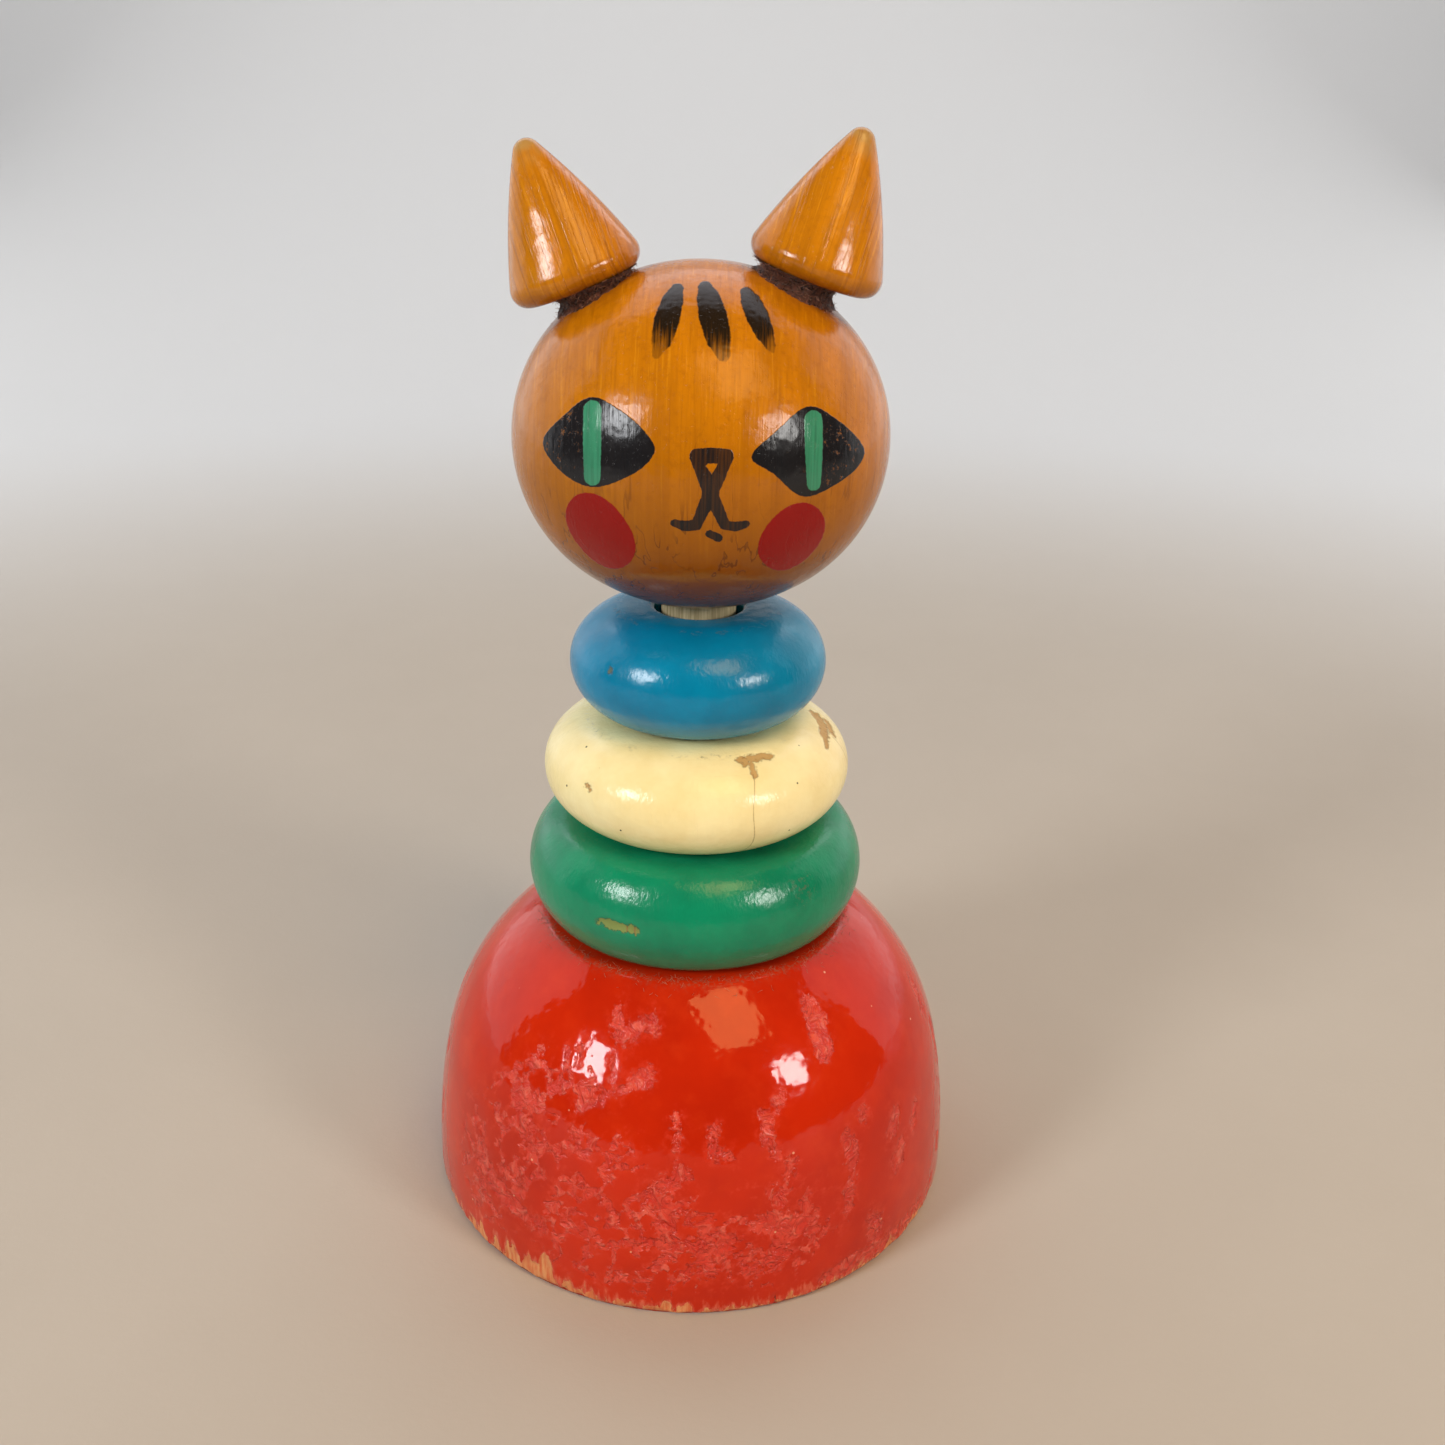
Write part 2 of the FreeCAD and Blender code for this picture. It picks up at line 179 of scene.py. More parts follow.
class ToySettings(bpy.types.PropertyGroup):
    dome: PointerProperty(type=DomeSettings)
    ring: PointerProperty(type=RingSettings)
    head: PointerProperty(type=HeadSettings)
    ear: PointerProperty(type=EarSettings)
    stage: PointerProperty(type=StageSettings)
    seed: IntProperty(name="Seed", description="Chance places of small wear", default=7)


# Shapes ---------------------------------------------------------------------------------

def arc(centre, radius, start, end, step=0.6 * MM):
    """Points (radius, level) along an arc of a turned outline."""
    count = max(3, math.ceil(abs(end - start) * radius / step))
    angles = [start + (end - start) * place / count for place in range(count + 1)]
    return [(centre[0] + radius * math.cos(a), centre[1] + radius * math.sin(a)) for a in angles]


def straight(start, end, step=2 * MM):
    """Points along a straight stretch, its start left out."""
    count = max(1, math.ceil(math.dist(start, end) / step))
    return [(start[0] + (end[0] - start[0]) * place / count,
             start[1] + (end[1] - start[1]) * place / count) for place in range(1, count + 1)]


def turned(name, outline, steps, matrix=None):
    """A mesh object turned from an outline of (radius, level) points."""
    bm = bmesh.new()
    corners = [bm.verts.new((radius, 0, level)) for radius, level in outline]
    edges = [bm.edges.new(pair) for pair in zip(corners, corners[1:])]
    bmesh.ops.spin(bm, geom=corners + edges, cent=(0, 0, 0), axis=(0, 0, 1),
                   angle=TURN, steps=steps, use_merge=True)
    bmesh.ops.remove_doubles(bm, verts=bm.verts, dist=0.5e-6)
    bmesh.ops.recalc_face_normals(bm, faces=bm.faces)
    if matrix:
        bmesh.ops.transform(bm, matrix=matrix, verts=bm.verts)
    return finished(name, bm)


def finished(name, bm):
    """Turn a bmesh into a smooth-shaded object in the scene."""
    mesh = bpy.data.meshes.new(name)
    bm.to_mesh(mesh)
    bm.free()
    mesh.shade_smooth()
    piece = bpy.data.objects.new(name, mesh)
    bpy.context.scene.collection.objects.link(piece)
    return piece


def per_vertex(piece, what):
    """Three numbers of each vertex, one row each: its place or the way it faces."""
    flat = np.empty(len(piece.data.vertices) * 3, dtype=np.float32)
    piece.data.vertices.foreach_get(what, flat)
    return flat.reshape(-1, 3).astype(float)


def places(piece):
    """The piece's vertex places in millimetres."""
    return per_vertex(piece, "co") / MM


def from_axis(points):
    """How far each place is from the middle line of the toy."""
    return np.hypot(points[:, 0], points[:, 1])


def bearing(points):
    """Degrees round the toy from its face."""
    return np.degrees(np.arctan2(points[:, 0], -points[:, 1]))


def degrees_off(azimuth, middle):
    """Degrees from one bearing to another by the shorter way."""
    return (azimuth - middle + 180) % 360 - 180


def press_in(piece, depths):
    """Push each vertex inwards by its depth in millimetres."""
    moved = (places(piece) - per_vertex(piece, "normal") * depths[:, None]) * MM
    piece.data.vertices.foreach_set("co", moved.astype(np.float32).ravel())
    piece.data.update()


def store(piece, name, values):
    """Keep one number per vertex for the material to read."""
    attribute = piece.data.attributes.new(name, "FLOAT", "POINT")
    attribute.data.foreach_set("value", np.asarray(values, dtype=np.float32))


def wobble(points, size, seed, octaves=3, only=None):
    """Smooth chance between about -1 and 1, with lumps of the given size in millimetres."""
    shift = Vector((seed * 17.3, seed * 5.9, seed * 11.1))
    values = np.zeros(len(points))
    picked = np.arange(len(points)) if only is None else np.flatnonzero(only)
    values[picked] = [noise.fractal(Vector(place) / size + shift, 0.7, 2.0, octaves)
                      for place in points[picked]]
    return values


def step_down(values, width):
    """1 where values are well below zero, 0 where well above, smooth between."""
    t = np.clip(0.5 - values / (2 * width), 0, 1)
    return t * t * (3 - 2 * t)


def dress(piece, material, body, slot, *nodes):
    """Give a piece its material and its body, and hide the nodes it stands for. The slot is not
    used.
    """
    piece.data.materials.append(material)
    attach(piece, body)
    if nodes:
        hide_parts(*nodes)
    return piece


# Materials ------------------------------------------------------------------------------

SMOOTH = {"interpolation_type": "SMOOTHSTEP"}
TIMES = {"operation": "MULTIPLY"}
MOST = {"operation": "MAXIMUM"}


def node(tree, kind, inputs=(), out=0, **settings):
    """Add a node with its settings and links, and give back one of its output sockets."""
    made = tree.nodes.new("ShaderNode" + kind)
    for name, value in settings.items():
        setattr(made, name, value)
    for socket, value in inputs.items() if isinstance(inputs, dict) else enumerate(inputs):
        if isinstance(value, bpy.types.NodeSocket):
            tree.links.new(value, made.inputs[socket])
        else:
            made.inputs[socket].default_value = value
    return made.outputs[out]


def start_material(name):
    """An empty material, and the maker of its nodes."""
    material = bpy.data.materials.new(name)
    material.use_nodes = True
    material.node_tree.nodes.clear()
    return material, partial(node, material.node_tree)


def millimetres(add, turn=0.0):
    """Object coordinates in millimetres, turned about Y."""
    place = add("TexCoord", out="Object")
    return add("Mapping", {"Vector": place, "Rotation": (0, turn, 0), "Scale": (1 / MM,) * 3})


def streaks(add, place, size, detail, roughness=0.5, distortion=0.0):
    """A chance pattern around 0.5 whose streaks have three sizes in mm, along X, Y and Z. Wood
    sawn flat is deeper from front to back than it is across."""
    place = add("Mapping", {"Vector": place, "Scale": tuple(1 / side for side in size)})
    return add("TexNoise", {"Vector": place, "Scale": 1.0, "Detail": detail,
                            "Roughness": roughness, "Distortion": distortion}, "Fac")


def lumps(add, place, size, start, end, low=0.0, high=1.0, detail=4.0, roughness=0.6):
    """Chance lumps of a size in mm, or streaks of three sizes, that rise smoothly from low to
    high where their pattern goes from start to end."""
    if isinstance(size, tuple):
        pattern = streaks(add, place, size, detail, roughness)
    else:
        pattern = add("TexNoise", {"Vector": place, "Scale": 1 / size, "Detail": detail,
                                   "Roughness": roughness}, "Fac")
    return add("MapRange", (pattern, start, end, low, high), **SMOOTH)


def coats(add, under, *layers):
    """Colours laid over one another, each with its cover. A colour is a hex code, a setting or
    a socket, and the colour sockets of Mix go by number."""
    under = linear(under) if isinstance(under, str) else under
    for cover, paint in layers:
        paint = linear(paint) if isinstance(paint, str) else paint
        under = add("Mix", {0: cover, 6: under, 7: paint}, 2, data_type="RGBA")
    return under


def total(add, *parts):
    """The sum of values, each times its share."""
    result = 0.0
    for value, share in parts:
        result = add("Math", (value, share, result), operation="MULTIPLY_ADD")
    return result


def finish_surface(add, paint, roughness, height, ior=1.5):
    """The shader and the output; height is the relief in millimetres."""
    bump = add("Bump", {"Strength": 1.0, "Distance": MM, "Height": height})
    shader = add("BsdfPrincipled", {"Base Color": paint, "Roughness": roughness,
                                    "Normal": bump, "IOR": ior})
    output = shader.id_data.nodes.new("ShaderNodeOutputMaterial")
    shader.id_data.links.new(shader, output.inputs["Surface"])


def flaked_lacquer(dome):
    """Nitrocellulose lacquer dipped on beech: deep gloss that has crazed and flaked into
    crumpled, paler patches with glints and a painted highlight on their raised tops, and rubbed
    wood in flames along the foot."""
    material, add = start_material("Dipped lacquer on beech")
    place = millimetres(add)
    flake_gap, bare_gap, dusty, split_gap = (
        add("Attribute", out="Fac", attribute_name=name)
        for name in ("flake", "bare", "dust", "split"))
    fine = lumps(add, place, 0.7, 0.2, 0.8, -1.0, 1.0)
    ragged = total(add, (flake_gap, 1.0), (fine, 0.8))
    flaked = add("MapRange", (ragged, 0.35, -0.35), **SMOOTH)
    bare_level = total(add, (bare_gap, 1.0),
                       (lumps(add, place, (1.0, 1.0, 3), 0.2, 0.8, -1, 1), 1.3))
    bare = add("MapRange", (bare_level, 0.25, -0.15), **SMOOTH)
    crumple = add("TexNoise", {"Vector": place, "Scale": 0.50, "Detail": 3.0,
                               "Roughness": 0.55, "Distortion": 1.2}, "Fac")
    ridge = add("Math", (add("Math", (crumple, 0.47), operation="SUBTRACT"),),
                operation="ABSOLUTE")
    crease = add("MapRange", (ridge, 0.009, 0.002), **SMOOTH)
    crease = add("Math", (crease, flaked), **TIMES)
    crease = add("Math", (crease, lumps(add, place, 4, 0.52, 0.62)), **TIMES)
    # Painted highlight: the raised tops of the crumpled lacquer get a pale colour, as if lit.
    crest_highlight = add("MapRange", (crumple, 0.52, 0.66), **SMOOTH)
    fold = add("Math", (add("Math", (crumple, 0.5), operation="SUBTRACT"), flaked), **TIMES)

    blush = lumps(add, place, 22, 0.35, 0.7)
    lacquer = coats(add, dome.lacquer, (blush, "#B82103"),
                    (lumps(add, place, 5, 0.45, 0.8, 0, 0.35), "#D63A10"))
    # Its pale #EC7E66 layer is that painted highlight; the other layers are the torn lacquer's own
    # colour.
    torn = coats(add, "#CC3424", (lumps(add, place, 2.6, 0.38, 0.62), dome.flaked),
                 (add("Math", (crest_highlight, 0.35), **TIMES), "#EC7E66"),
                 (lumps(add, place, 6, 0.5, 0.72, 0, 0.5), "#C42A12"))
    grain = streaks(add, place, (0.6, 0.6, 6), 4.0)
    wood = coats(add, "#D4693A", (add("MapRange", (grain, 0.35, 0.65), **SMOOTH), dome.wood))
    lip = add("Math", (add("MapRange", (bare_level, 1.6, 0.3), **SMOOTH),
                       lumps(add, place, (0.8, 0.8, 5), 0.35, 0.6)), **TIMES)
    underside = add("MapRange", (add("SeparateXYZ", (place,), "Z"), 0.25, 0.05), **SMOOTH)
    speck = add("TexVoronoi", {"Vector": place, "Scale": 0.17, "Randomness": 1.0}, "Distance")
    dust = add("Math", (dusty, lumps(add, place, 0.8, 0.44, 0.66, detail=5, roughness=0.8)),
               **TIMES)
    split = add("MapRange", (split_gap, 0.16, 0.05), **SMOOTH)
    bruise = add("Math", (add("MapRange", (ragged, 2.2, 0.0), **SMOOTH),
                          lumps(add, place, 1.6, 0.42, 0.66, 0, 0.6)), **TIMES)
    paint = coats(add, lacquer, (bruise, "#D43E28"), (flaked, torn), (crease, "#7E160A"),
                  (add("Math", (lip, 0.8), **TIMES), "#DC6A4E"), (bare, wood),
                  (add("MapRange", (speck, 0.045, 0.02), **SMOOTH), "#E8A37E"),
                  (add("Math", (dust, 0.7), **TIMES), "#8C4E38"),
                  (underside, wood), (split, "#4A1208"))

    scuffed = add("Math", (add("Math", (bare, dust), **MOST), underside), **MOST)
    gloss = lumps(add, place, (0.4, 0.4, 6), 0.5, 0.8, 0.07, 0.16)
    rough = total(add, (gloss, 1.0), (flaked, 0.14), (scuffed, 0.42))
    height = total(add, (lumps(add, place, 4.5, 0.2, 0.8, detail=2), 0.06), (flaked, -0.03),
                   (fold, 1.15), (crease, -0.06),
                   (add("Math", (bare, grain), **TIMES), 0.2))
    finish_surface(add, paint, rough, height, 1.38)
    return material


def gloss_enamel(name, paint, shade, chip):
    """Brushed gloss enamel on turned beech: the grain shows as fine upright ripples in the
    soft highlights, with small specks, hairlines and chips down to the wood."""
    material, add = start_material(name)
    place = millimetres(add)
    chip_gap, across_hair, grimy = (
        add("Attribute", out="Fac", attribute_name=name)
        for name in ("chip", "hairline", "grime"))
    fine = lumps(add, place, 0.6, 0.2, 0.8, -1.0, 1.0)
    edge = total(add, (chip_gap, 1.0), (fine, 0.30))
    chipped = add("MapRange", (edge, 0.05, -0.05), **SMOOTH)
    rim = add("MapRange", (edge, 0.35, 0.02), **SMOOTH)
    hair = total(add, (add("Math", (across_hair,), operation="ABSOLUTE"), 1.0), (fine, 0.05))
    hair = add("MapRange", (hair, 0.13, 0.04, 0.0, 0.5), **SMOOTH)
    ripple = streaks(add, place, (0.40, 0.40, 5), 3.0)
    cloud = lumps(add, place, 13, 0.3, 0.72)
    speck = add("TexVoronoi", {"Vector": place, "Scale": 0.2, "Randomness": 1.0}, "Distance")
    grime = add("Math", (grimy, lumps(add, place, 0.9, 0.50, 0.64, detail=5, roughness=0.75)),
                **TIMES)
    grain = streaks(add, place, (0.6, 0.6, 4), 4.0)
    wood = coats(add, "#8A683A", (add("MapRange", (grain, 0.22, 0.44), **SMOOTH), chip))
    colours = coats(add, paint, (cloud, shade),
                    (add("MapRange", (speck, 0.045, 0.025), **SMOOTH), "#2B2A22"),
                    (add("Math", (grime, 0.7), **TIMES), "#5C4B30"),
                    (add("Math", (rim, 0.35), **TIMES), "#5E4A26"), (chipped, wood),
                    (hair, "#8A683A"))
    worn = add("Math", (chipped, grime), **MOST)
    rough = total(add, (lumps(add, place, 9, 0.3, 0.8, 0.19, 0.27), 1.0), (worn, 0.35))
    height = total(add, (ripple, 0.045), (lumps(add, place, 3, 0.2, 0.8, detail=2), 0.06),
                   (chipped, -0.18), (add("Math", (chipped, grain), **TIMES), 0.15))
    finish_surface(add, colours, rough, height, 1.42)
    return material


def varnished_wood(name, head, figure, shine, turn=0.0):
    """Fine maple under shellac that has aged to amber: streaks along the grain under a
    deep gloss with tiny pits, dirt and painted shade round the joints, and dull, worn tips.
    figure is how strong the streaks are and shine the roughness of the best spots."""
    material, add = start_material(name)
    place = millimetres(add, turn)
    stain, worn = (
        add("Attribute", out="Fac", attribute_name=name)
        for name in ("stain", "worn"))
    figured = streaks(add, place, (0.5, 7, 22), 5.0, 0.6)
    bands = lumps(add, place, (3.0, 14, 40), 0.35, 0.7, 0, 0.5, detail=3)
    wood = coats(add, head.amber, (bands, head.grain),
                 (add("MapRange", (figured, 0.50, 0.72, 0.0, figure), **SMOOTH), "#8A4E02"),
                 (add("MapRange", (figured, 0.46, 0.30, 0.0, figure), **SMOOTH), "#E69A18"),
                 (lumps(add, place, 12, 0.45, 0.75, 0, 0.35), "#B06A04"),
                 (lumps(add, place, 1.3, 0.48, 0.72, 0, 0.5, roughness=0.7), "#A35E08"),
                 # Darker round the foot of each ear: painted shade under the ear's base, with some
                 # dirt.
                 (add("Math", (stain, lumps(add, place, 1.6, 0.25, 0.6, 0.35, 1)), **TIMES),
                  "#6E3008"), (worn, "#A98A52"))
    rough = lumps(add, place, 0.35, 0.55, 0.75, shine, shine + 0.1, detail=2)
    height = total(add, (figured, 0.045), (lumps(add, place, 3.5, 0.2, 0.8, detail=2), 0.06),
                   (lumps(add, place, 0.5, 0.64, 0.70, detail=2), -0.02))
    return material, add, place, wood, rough, height


def painted_face(head):
    """The ball's maple, darkened toward the chin partly by painted shade and partly by darker
    varnish, and finely cracked there, with its face brushed on in thin black, green and red enamel."""
    material, add, place, wood, rough, height = varnished_wood(
        "Painted maple under amber shellac", head, 0.34, 0.16)
    hair = streaks(add, place, (4.0, 4.0, 150), 3.0, distortion=0.1)
    hair = add("Math", (add("Math", (hair, 12.0), **TIMES), 1.0), operation="PINGPONG")
    low, fade, stripe_gap, rub = (
        add("Attribute", out="Fac", attribute_name=name)
        for name in ("low", "fade", "stripe", "rubbed"))
    crack = add("Math", (add("MapRange", (hair, 0.16, 0.04), **SMOOTH), low), **TIMES)
    crack = add("Math", (crack, lumps(add, place, 7, 0.40, 0.55, detail=2)), **TIMES)
    # Painted shade: the lower half of the ball is darkened toward the chin, where little light
    # falls, with some darker varnish.
    wood = coats(add, wood, (add("Math", (low, 0.8), **TIMES), "#844602"),
                 (add("MapRange", (low, 0.85, 1.25, 0.0, 0.6), **SMOOTH), "#542806"),
                 (add("Math", (crack, 0.6), **TIMES), "#4A2004"))
    height = total(add, (height, 1.0), (crack, -0.03))

    ragged = lumps(add, place, 0.6, 0.2, 0.8, -0.5, 0.5)
    bristle = streaks(add, place, (1 / 2.8, 10.0, 10.0), 3.0)
    thinned = total(add, (fade, 1.0), (bristle, 0.9))
    stripe = total(add, (stripe_gap, 1.0), (ragged, 0.18))
    ink = add("Math", (add("MapRange", (stripe, 0.10, -0.12), **SMOOTH),
                       add("MapRange", (thinned, 1.42, 1.0, 0.40, 0.98), **SMOOTH)), **TIMES)
    layers = [(ink, "#16130B")]
    height = total(add, (height, 1.0), (ink, 0.02))
    rubbed = add("Math", (lumps(add, place, 1.1, 0.58, 0.63, detail=5, roughness=0.8), rub),
                 **TIMES)
    for name, strength, paint in (
            ("eye", add("MapRange", (rubbed, 0.0, 1.0, 0.99, 0.5)), head.black),
            ("slit", add("MapRange", (bristle, 0.35, 0.6, 0.72, 0.95)), head.eye),
            ("cheek", 0.99, head.cheek),
            ("nose", add("MapRange", (bristle, 0.30, 0.60, 0.86, 0.98)), head.black)):
        outside = add("Attribute", out="Fac", attribute_name=name)
        outside = total(add, (outside, 1.0), (ragged, 0.12))
        cover = add("Math", (add("MapRange", (outside, 0.06, -0.06), **SMOOTH), strength),
                    **TIMES)
        layers.append((cover, paint))
        height = total(add, (height, 1.0), (cover, 0.035))
    finish_surface(add, coats(add, wood, *layers), rough, height, 1.35)
    return material


def ear_wood(name, head, turn):
    """The same maple and shellac, with open grooves along the cone's grain."""
    material, add, place, wood, rough, height = varnished_wood(name, head, 0.55, 0.12, turn)
    lines = streaks(add, place, (0.40, 11, 40), 4.0)
    groove = add("MapRange", (lines, 0.55, 0.66), **SMOOTH)
    wood = coats(add, wood, (0.08, "#E39C1C"),
                 (add("Math", (groove, 0.28), **TIMES), "#7A4004"))
    finish_surface(add, wood, rough, total(add, (height, 1.0), (groove, -0.03)), 1.42)
    return material


def bare_dowel(name):
    """Birch dowel left bare and grey with handling: long fine grain, no shine."""
    material, add = start_material(name)
    place = millimetres(add)
    grain = streaks(add, place, (0.35, 0.35, 10), 5.0)
    wood = coats(add, "#CDBC92",
                 (add("MapRange", (grain, 0.35, 0.7), **SMOOTH), "#9A865C"),
                 (lumps(add, place, 6, 0.45, 0.75, 0, 0.5), "#80724F"))
    finish_surface(add, wood, add("MapRange", (grain, 0.3, 0.7, 0.55, 0.7)),
                   total(add, (grain, 0.08)))
    return material


def old_glue(ear):
    """Hide glue gone brown, lumpy and half shiny, with dust stuck in it."""
    material, add = start_material("Old hide glue with dust")
    place = millimetres(add)
    crust = add("TexNoise", {"Vector": place, "Scale": 1.4, "Detail": 5.0,
                             "Roughness": 0.75}, "Fac")
    dust = lumps(add, place, 0.35, 0.52, 0.68)
    brown = coats(add, "#2A130A",
                  (add("MapRange", (crust, 0.35, 0.65), **SMOOTH), ear.glue),
                  (add("Math", (dust, 0.6), **TIMES), "#946A48"))
    finish_surface(add, brown, add("MapRange", (crust, 0.4, 0.6, 0.2, 0.6)),
                   total(add, (crust, 0.8), (dust, 0.2)))
    return material


def lint_fibre():
    """Cotton lint with house dust: dull and brownish."""
    material, add = start_material("Cotton lint")
    tone = lumps(add, millimetres(add), 2.5, 0.4, 0.6)
    finish_surface(add, coats(add, "#B98468", (tone, "#8A5640")), 0.9, 0.0)
    return material


def matt_card(stage):
    """Smooth matt card, pale under the toy and paler still where it sweeps up behind."""
    material, add = start_material("Matt card")
    place = millimetres(add)
    away = add("VectorMath", (place,), "Value", operation="LENGTH")
    shade = coats(add, stage.floor, (lumps(add, place, 60, 0.3, 0.7, 0, 0.3), "#ADA395"),
                  (add("MapRange", (away, 250, 700), **SMOOTH), stage.wall))
    finish_surface(add, shade, 0.65, total(add, (lumps(add, place, 1.2, 0.2, 0.8), 0.02)))
    return material


# Wear -----------------------------------------------------------------------------------

# Each flake: azimuth in degrees from the face, level in mm, then the other end, half width.
DOME_FLAKES = [
    (-28, 41.0, -27, 39.0, 0.5), (-19, 41.0, -18, 38.6, 0.6), (-25, 36.8, -20, 36.2, 0.6),
    (-24, 34.4, -10, 39.0, 0.8), (-21, 45.6, -18, 43.8, 0.9),
    (-18, 43.8, -10, 45.6, 1.0), (-40, 36.5, -39, 38.5, 0.8), (-2, 34.1, -2, 30.0, 0.7),
    (-2, 30.0, -1, 26.7, 0.5), (-1, 26.7, -8, 22.3, 1.1), (-49, 18.6, -45, 13.9, 1.3),
    (-45, 13.9, -30, 11.7, 1.3), (-4, 20.5, -3, 13.3, 1.9), (37, 44.6, 36, 41.5, 2.5),
    (23, 36.2, 20, 35.4, 0.6), (18, 34.1, 18, 31.3, 0.9), (18, 31.3, 19, 28.2, 0.7),
    (23, 26.4, 19, 20.2, 1.0), (36, 27.2, 37, 22.7, 1.0), (37, 22.7, 35, 14.2, 0.8),
    (51, 25.4, 50, 23.2, 1.2), (53, 19.5, 50, 17.0, 1.3), (60, 23.3, 58, 21.1, 1.0),
    (42, 30.0, 41, 28.7, 0.8), (16, 16.7, 24, 15.5, 1.9), (20, 14.5, 18, 9.9, 1.5),
    (4, 17.0, 5, 9.5, 1.3), (8, 15.2, 8, 11.1, 1.3), (42, 9.9, 43, 5.8, 1.3),
    (60, 3.4, 30, 3.0, 1.3), (6, 32.8, 6, 30.0, 0.5), (6, 30.0, 9, 28.7, 0.7),
]
# Crazed areas: azimuth, level, half width and half height in mm.
DOME_CRAZED = [(-26, 22, 14, 8), (-40, 30, 6, 5), (-46, 17, 8, 9), (-12, 14, 14, 8),
               (18, 14, 9, 7), (-30, 36, 6, 4), (95, 16, 12, 9), (160, 24, 15, 9),
               (215, 14, 14, 8), (262, 22, 10, 9)]
# Bare foot: azimuth, half width in degrees and height in mm of the rubbed wood.
DOME_BARE = [(-48, 9, 5.0), (-36, 6, 6.5), (-30, 3, 9.5), (-20, 9, 4.0), (-2, 12, 3.0),
             (16, 14, 2.2), (48, 16, 2.4), (110, 12, 3.5), (185, 18, 2.5), (240, 10, 4.0)]
# Splits in the foot: azimuth and the level in mm where each ends.
DOME_SPLITS = [(-25, 2.6), (18.5, 2.6)]
# Millimetres from the middle: the dome is hidden up to the first, and the lowest ring sits on
# the second.
UNDER_RING, RING_SEAT = 22, 26.2
# Chips on a ring: azimuth and angle round the section in degrees, both ends, half width.
RING_CHIPS = {
    "green": [(-28, 2, -18, 3, 0.65), (-32, 0, -30, 2, 0.35), (150, 40, 158, 35, 0.8)],
    "cream": [(21, 78, 37, 76, 0.55), (22, 73, 30, 76, 0.4), (26, 70, 24.5, 56, 0.45),
              (94, 74, 84, 66, 1.0), (86, 64, 76, 60, 0.8), (92, 58, 84, 50, 0.7),
              (80, 66, 70, 52, 0.5), (-41, 22, -40, 20, 0.3), (-43, 24, -42, 23, 0.25),
              (195, 60, 205, 55, 0.9), (250, 10, 254, 4, 0.6)],
    "blue": [(-41, 22, -41, 22, 0.45), (124, 30, 125, 28, 0.4), (230, 50, 236, 44, 0.5)],
}
# The middle of the pitted patch on the green ring, in mm.
PITTED = (17.5, -20.5, 64.3)
# Hairlines in the cream enamel: azimuth at the foot and at the top, lowest and highest mm.
HAIRLINES = [(20.5, 24.0, 69.5, 83.6), (88, 80, 72, 83), (200, 206, 70, 83)]


def to_line(points, start, end):
    """Distance from a straight line between two places, and the share of its length at the
    nearest place on it."""
    start, along = np.array(start, float), np.subtract(end, start)
    share = np.clip((points - start) @ along / max(along @ along, 1e-9), 0, 1)
    return np.linalg.norm(points - start - share[:, None] * along, axis=1), share


def unrolled(points, radius):
    """Azimuth from the face as a distance round the piece, with the level."""
    azimuth = np.arctan2(points[:, 0], -points[:, 1])
    return np.stack([azimuth * radius, points[:, 2]], axis=1)


def nearest_way(flat, azimuth, radius):
    """Shift an azimuth by whole turns, and give its distance from each point."""
    turn = TURN * radius
    gap = flat[:, 0] - math.radians(azimuth) * radius
    return gap - np.round(gap / turn) * turn


def flake_field(points, seed):
    """Distance outside the flaked lacquer in mm, ragged at the scale of the mesh."""
    radius = DOME_RADIUS / MM
    flat = unrolled(points, radius)
    chance = random.Random(seed)
    flakes = list(DOME_FLAKES)
    for _ in range(46):
        azimuth, level = chance.uniform(68, 292), 3 + 36 * chance.random() ** 1.5
        flakes.append((azimuth, level, azimuth + chance.uniform(-4, 4),
                       level + chance.uniform(-5, 5), chance.uniform(0.4, 1.6)))
    field = np.full(len(points), 20.0)
    for azimuth, level, azimuth_end, level_end, width in flakes:
        local = np.stack([nearest_way(flat, azimuth, radius), flat[:, 1]], axis=1)
        sweep = math.radians(azimuth_end - azimuth) * radius
        gap, _ = to_line(local, (0, level), (sweep, level_end))
        field = np.minimum(field, gap - width)
    outside = from_axis(points) > UNDER_RING
    field += 1.1 * wobble(points, 3.2, 1, only=outside)
    crazed = np.full(len(points), 20.0)
    for azimuth, level, half_width, half_height in DOME_CRAZED:
        gap = np.hypot(nearest_way(flat, azimuth, radius) / half_width,
                       (flat[:, 1] - level) / half_height)
        crazed = np.minimum(crazed, (gap - 1) * 4)
    net = np.abs(wobble(points, 4.6, 2, 4, only=crazed < 6)) * 6.5 - 1.35
    return np.minimum(field, net + np.clip(crazed, 0, 20))


def bare_field(points):
    """Level in mm above the top of the rubbed wood at the foot."""
    azimuth = bearing(points)
    top = np.full(len(points), 2.1)
    for middle, half, height in DOME_BARE:
        gap = degrees_off(azimuth, middle)
        top = np.maximum(top, height * np.exp(-(gap / half) ** 2))
    flames = wobble(points * [1, 1, 0.25], 1.6, 4, only=points[:, 2] < 16)
    return points[:, 2] - top * (0.6 + 0.55 * flames)


# Each ring's section: the curvature of its outermost part and of its shoulders.
RING_CURVES = {"green": (11.0 * MM, 5.7 * MM), "cream": (7.6 * MM, 12.0 * MM),
               "blue": (8.2 * MM, 10.2 * MM)}


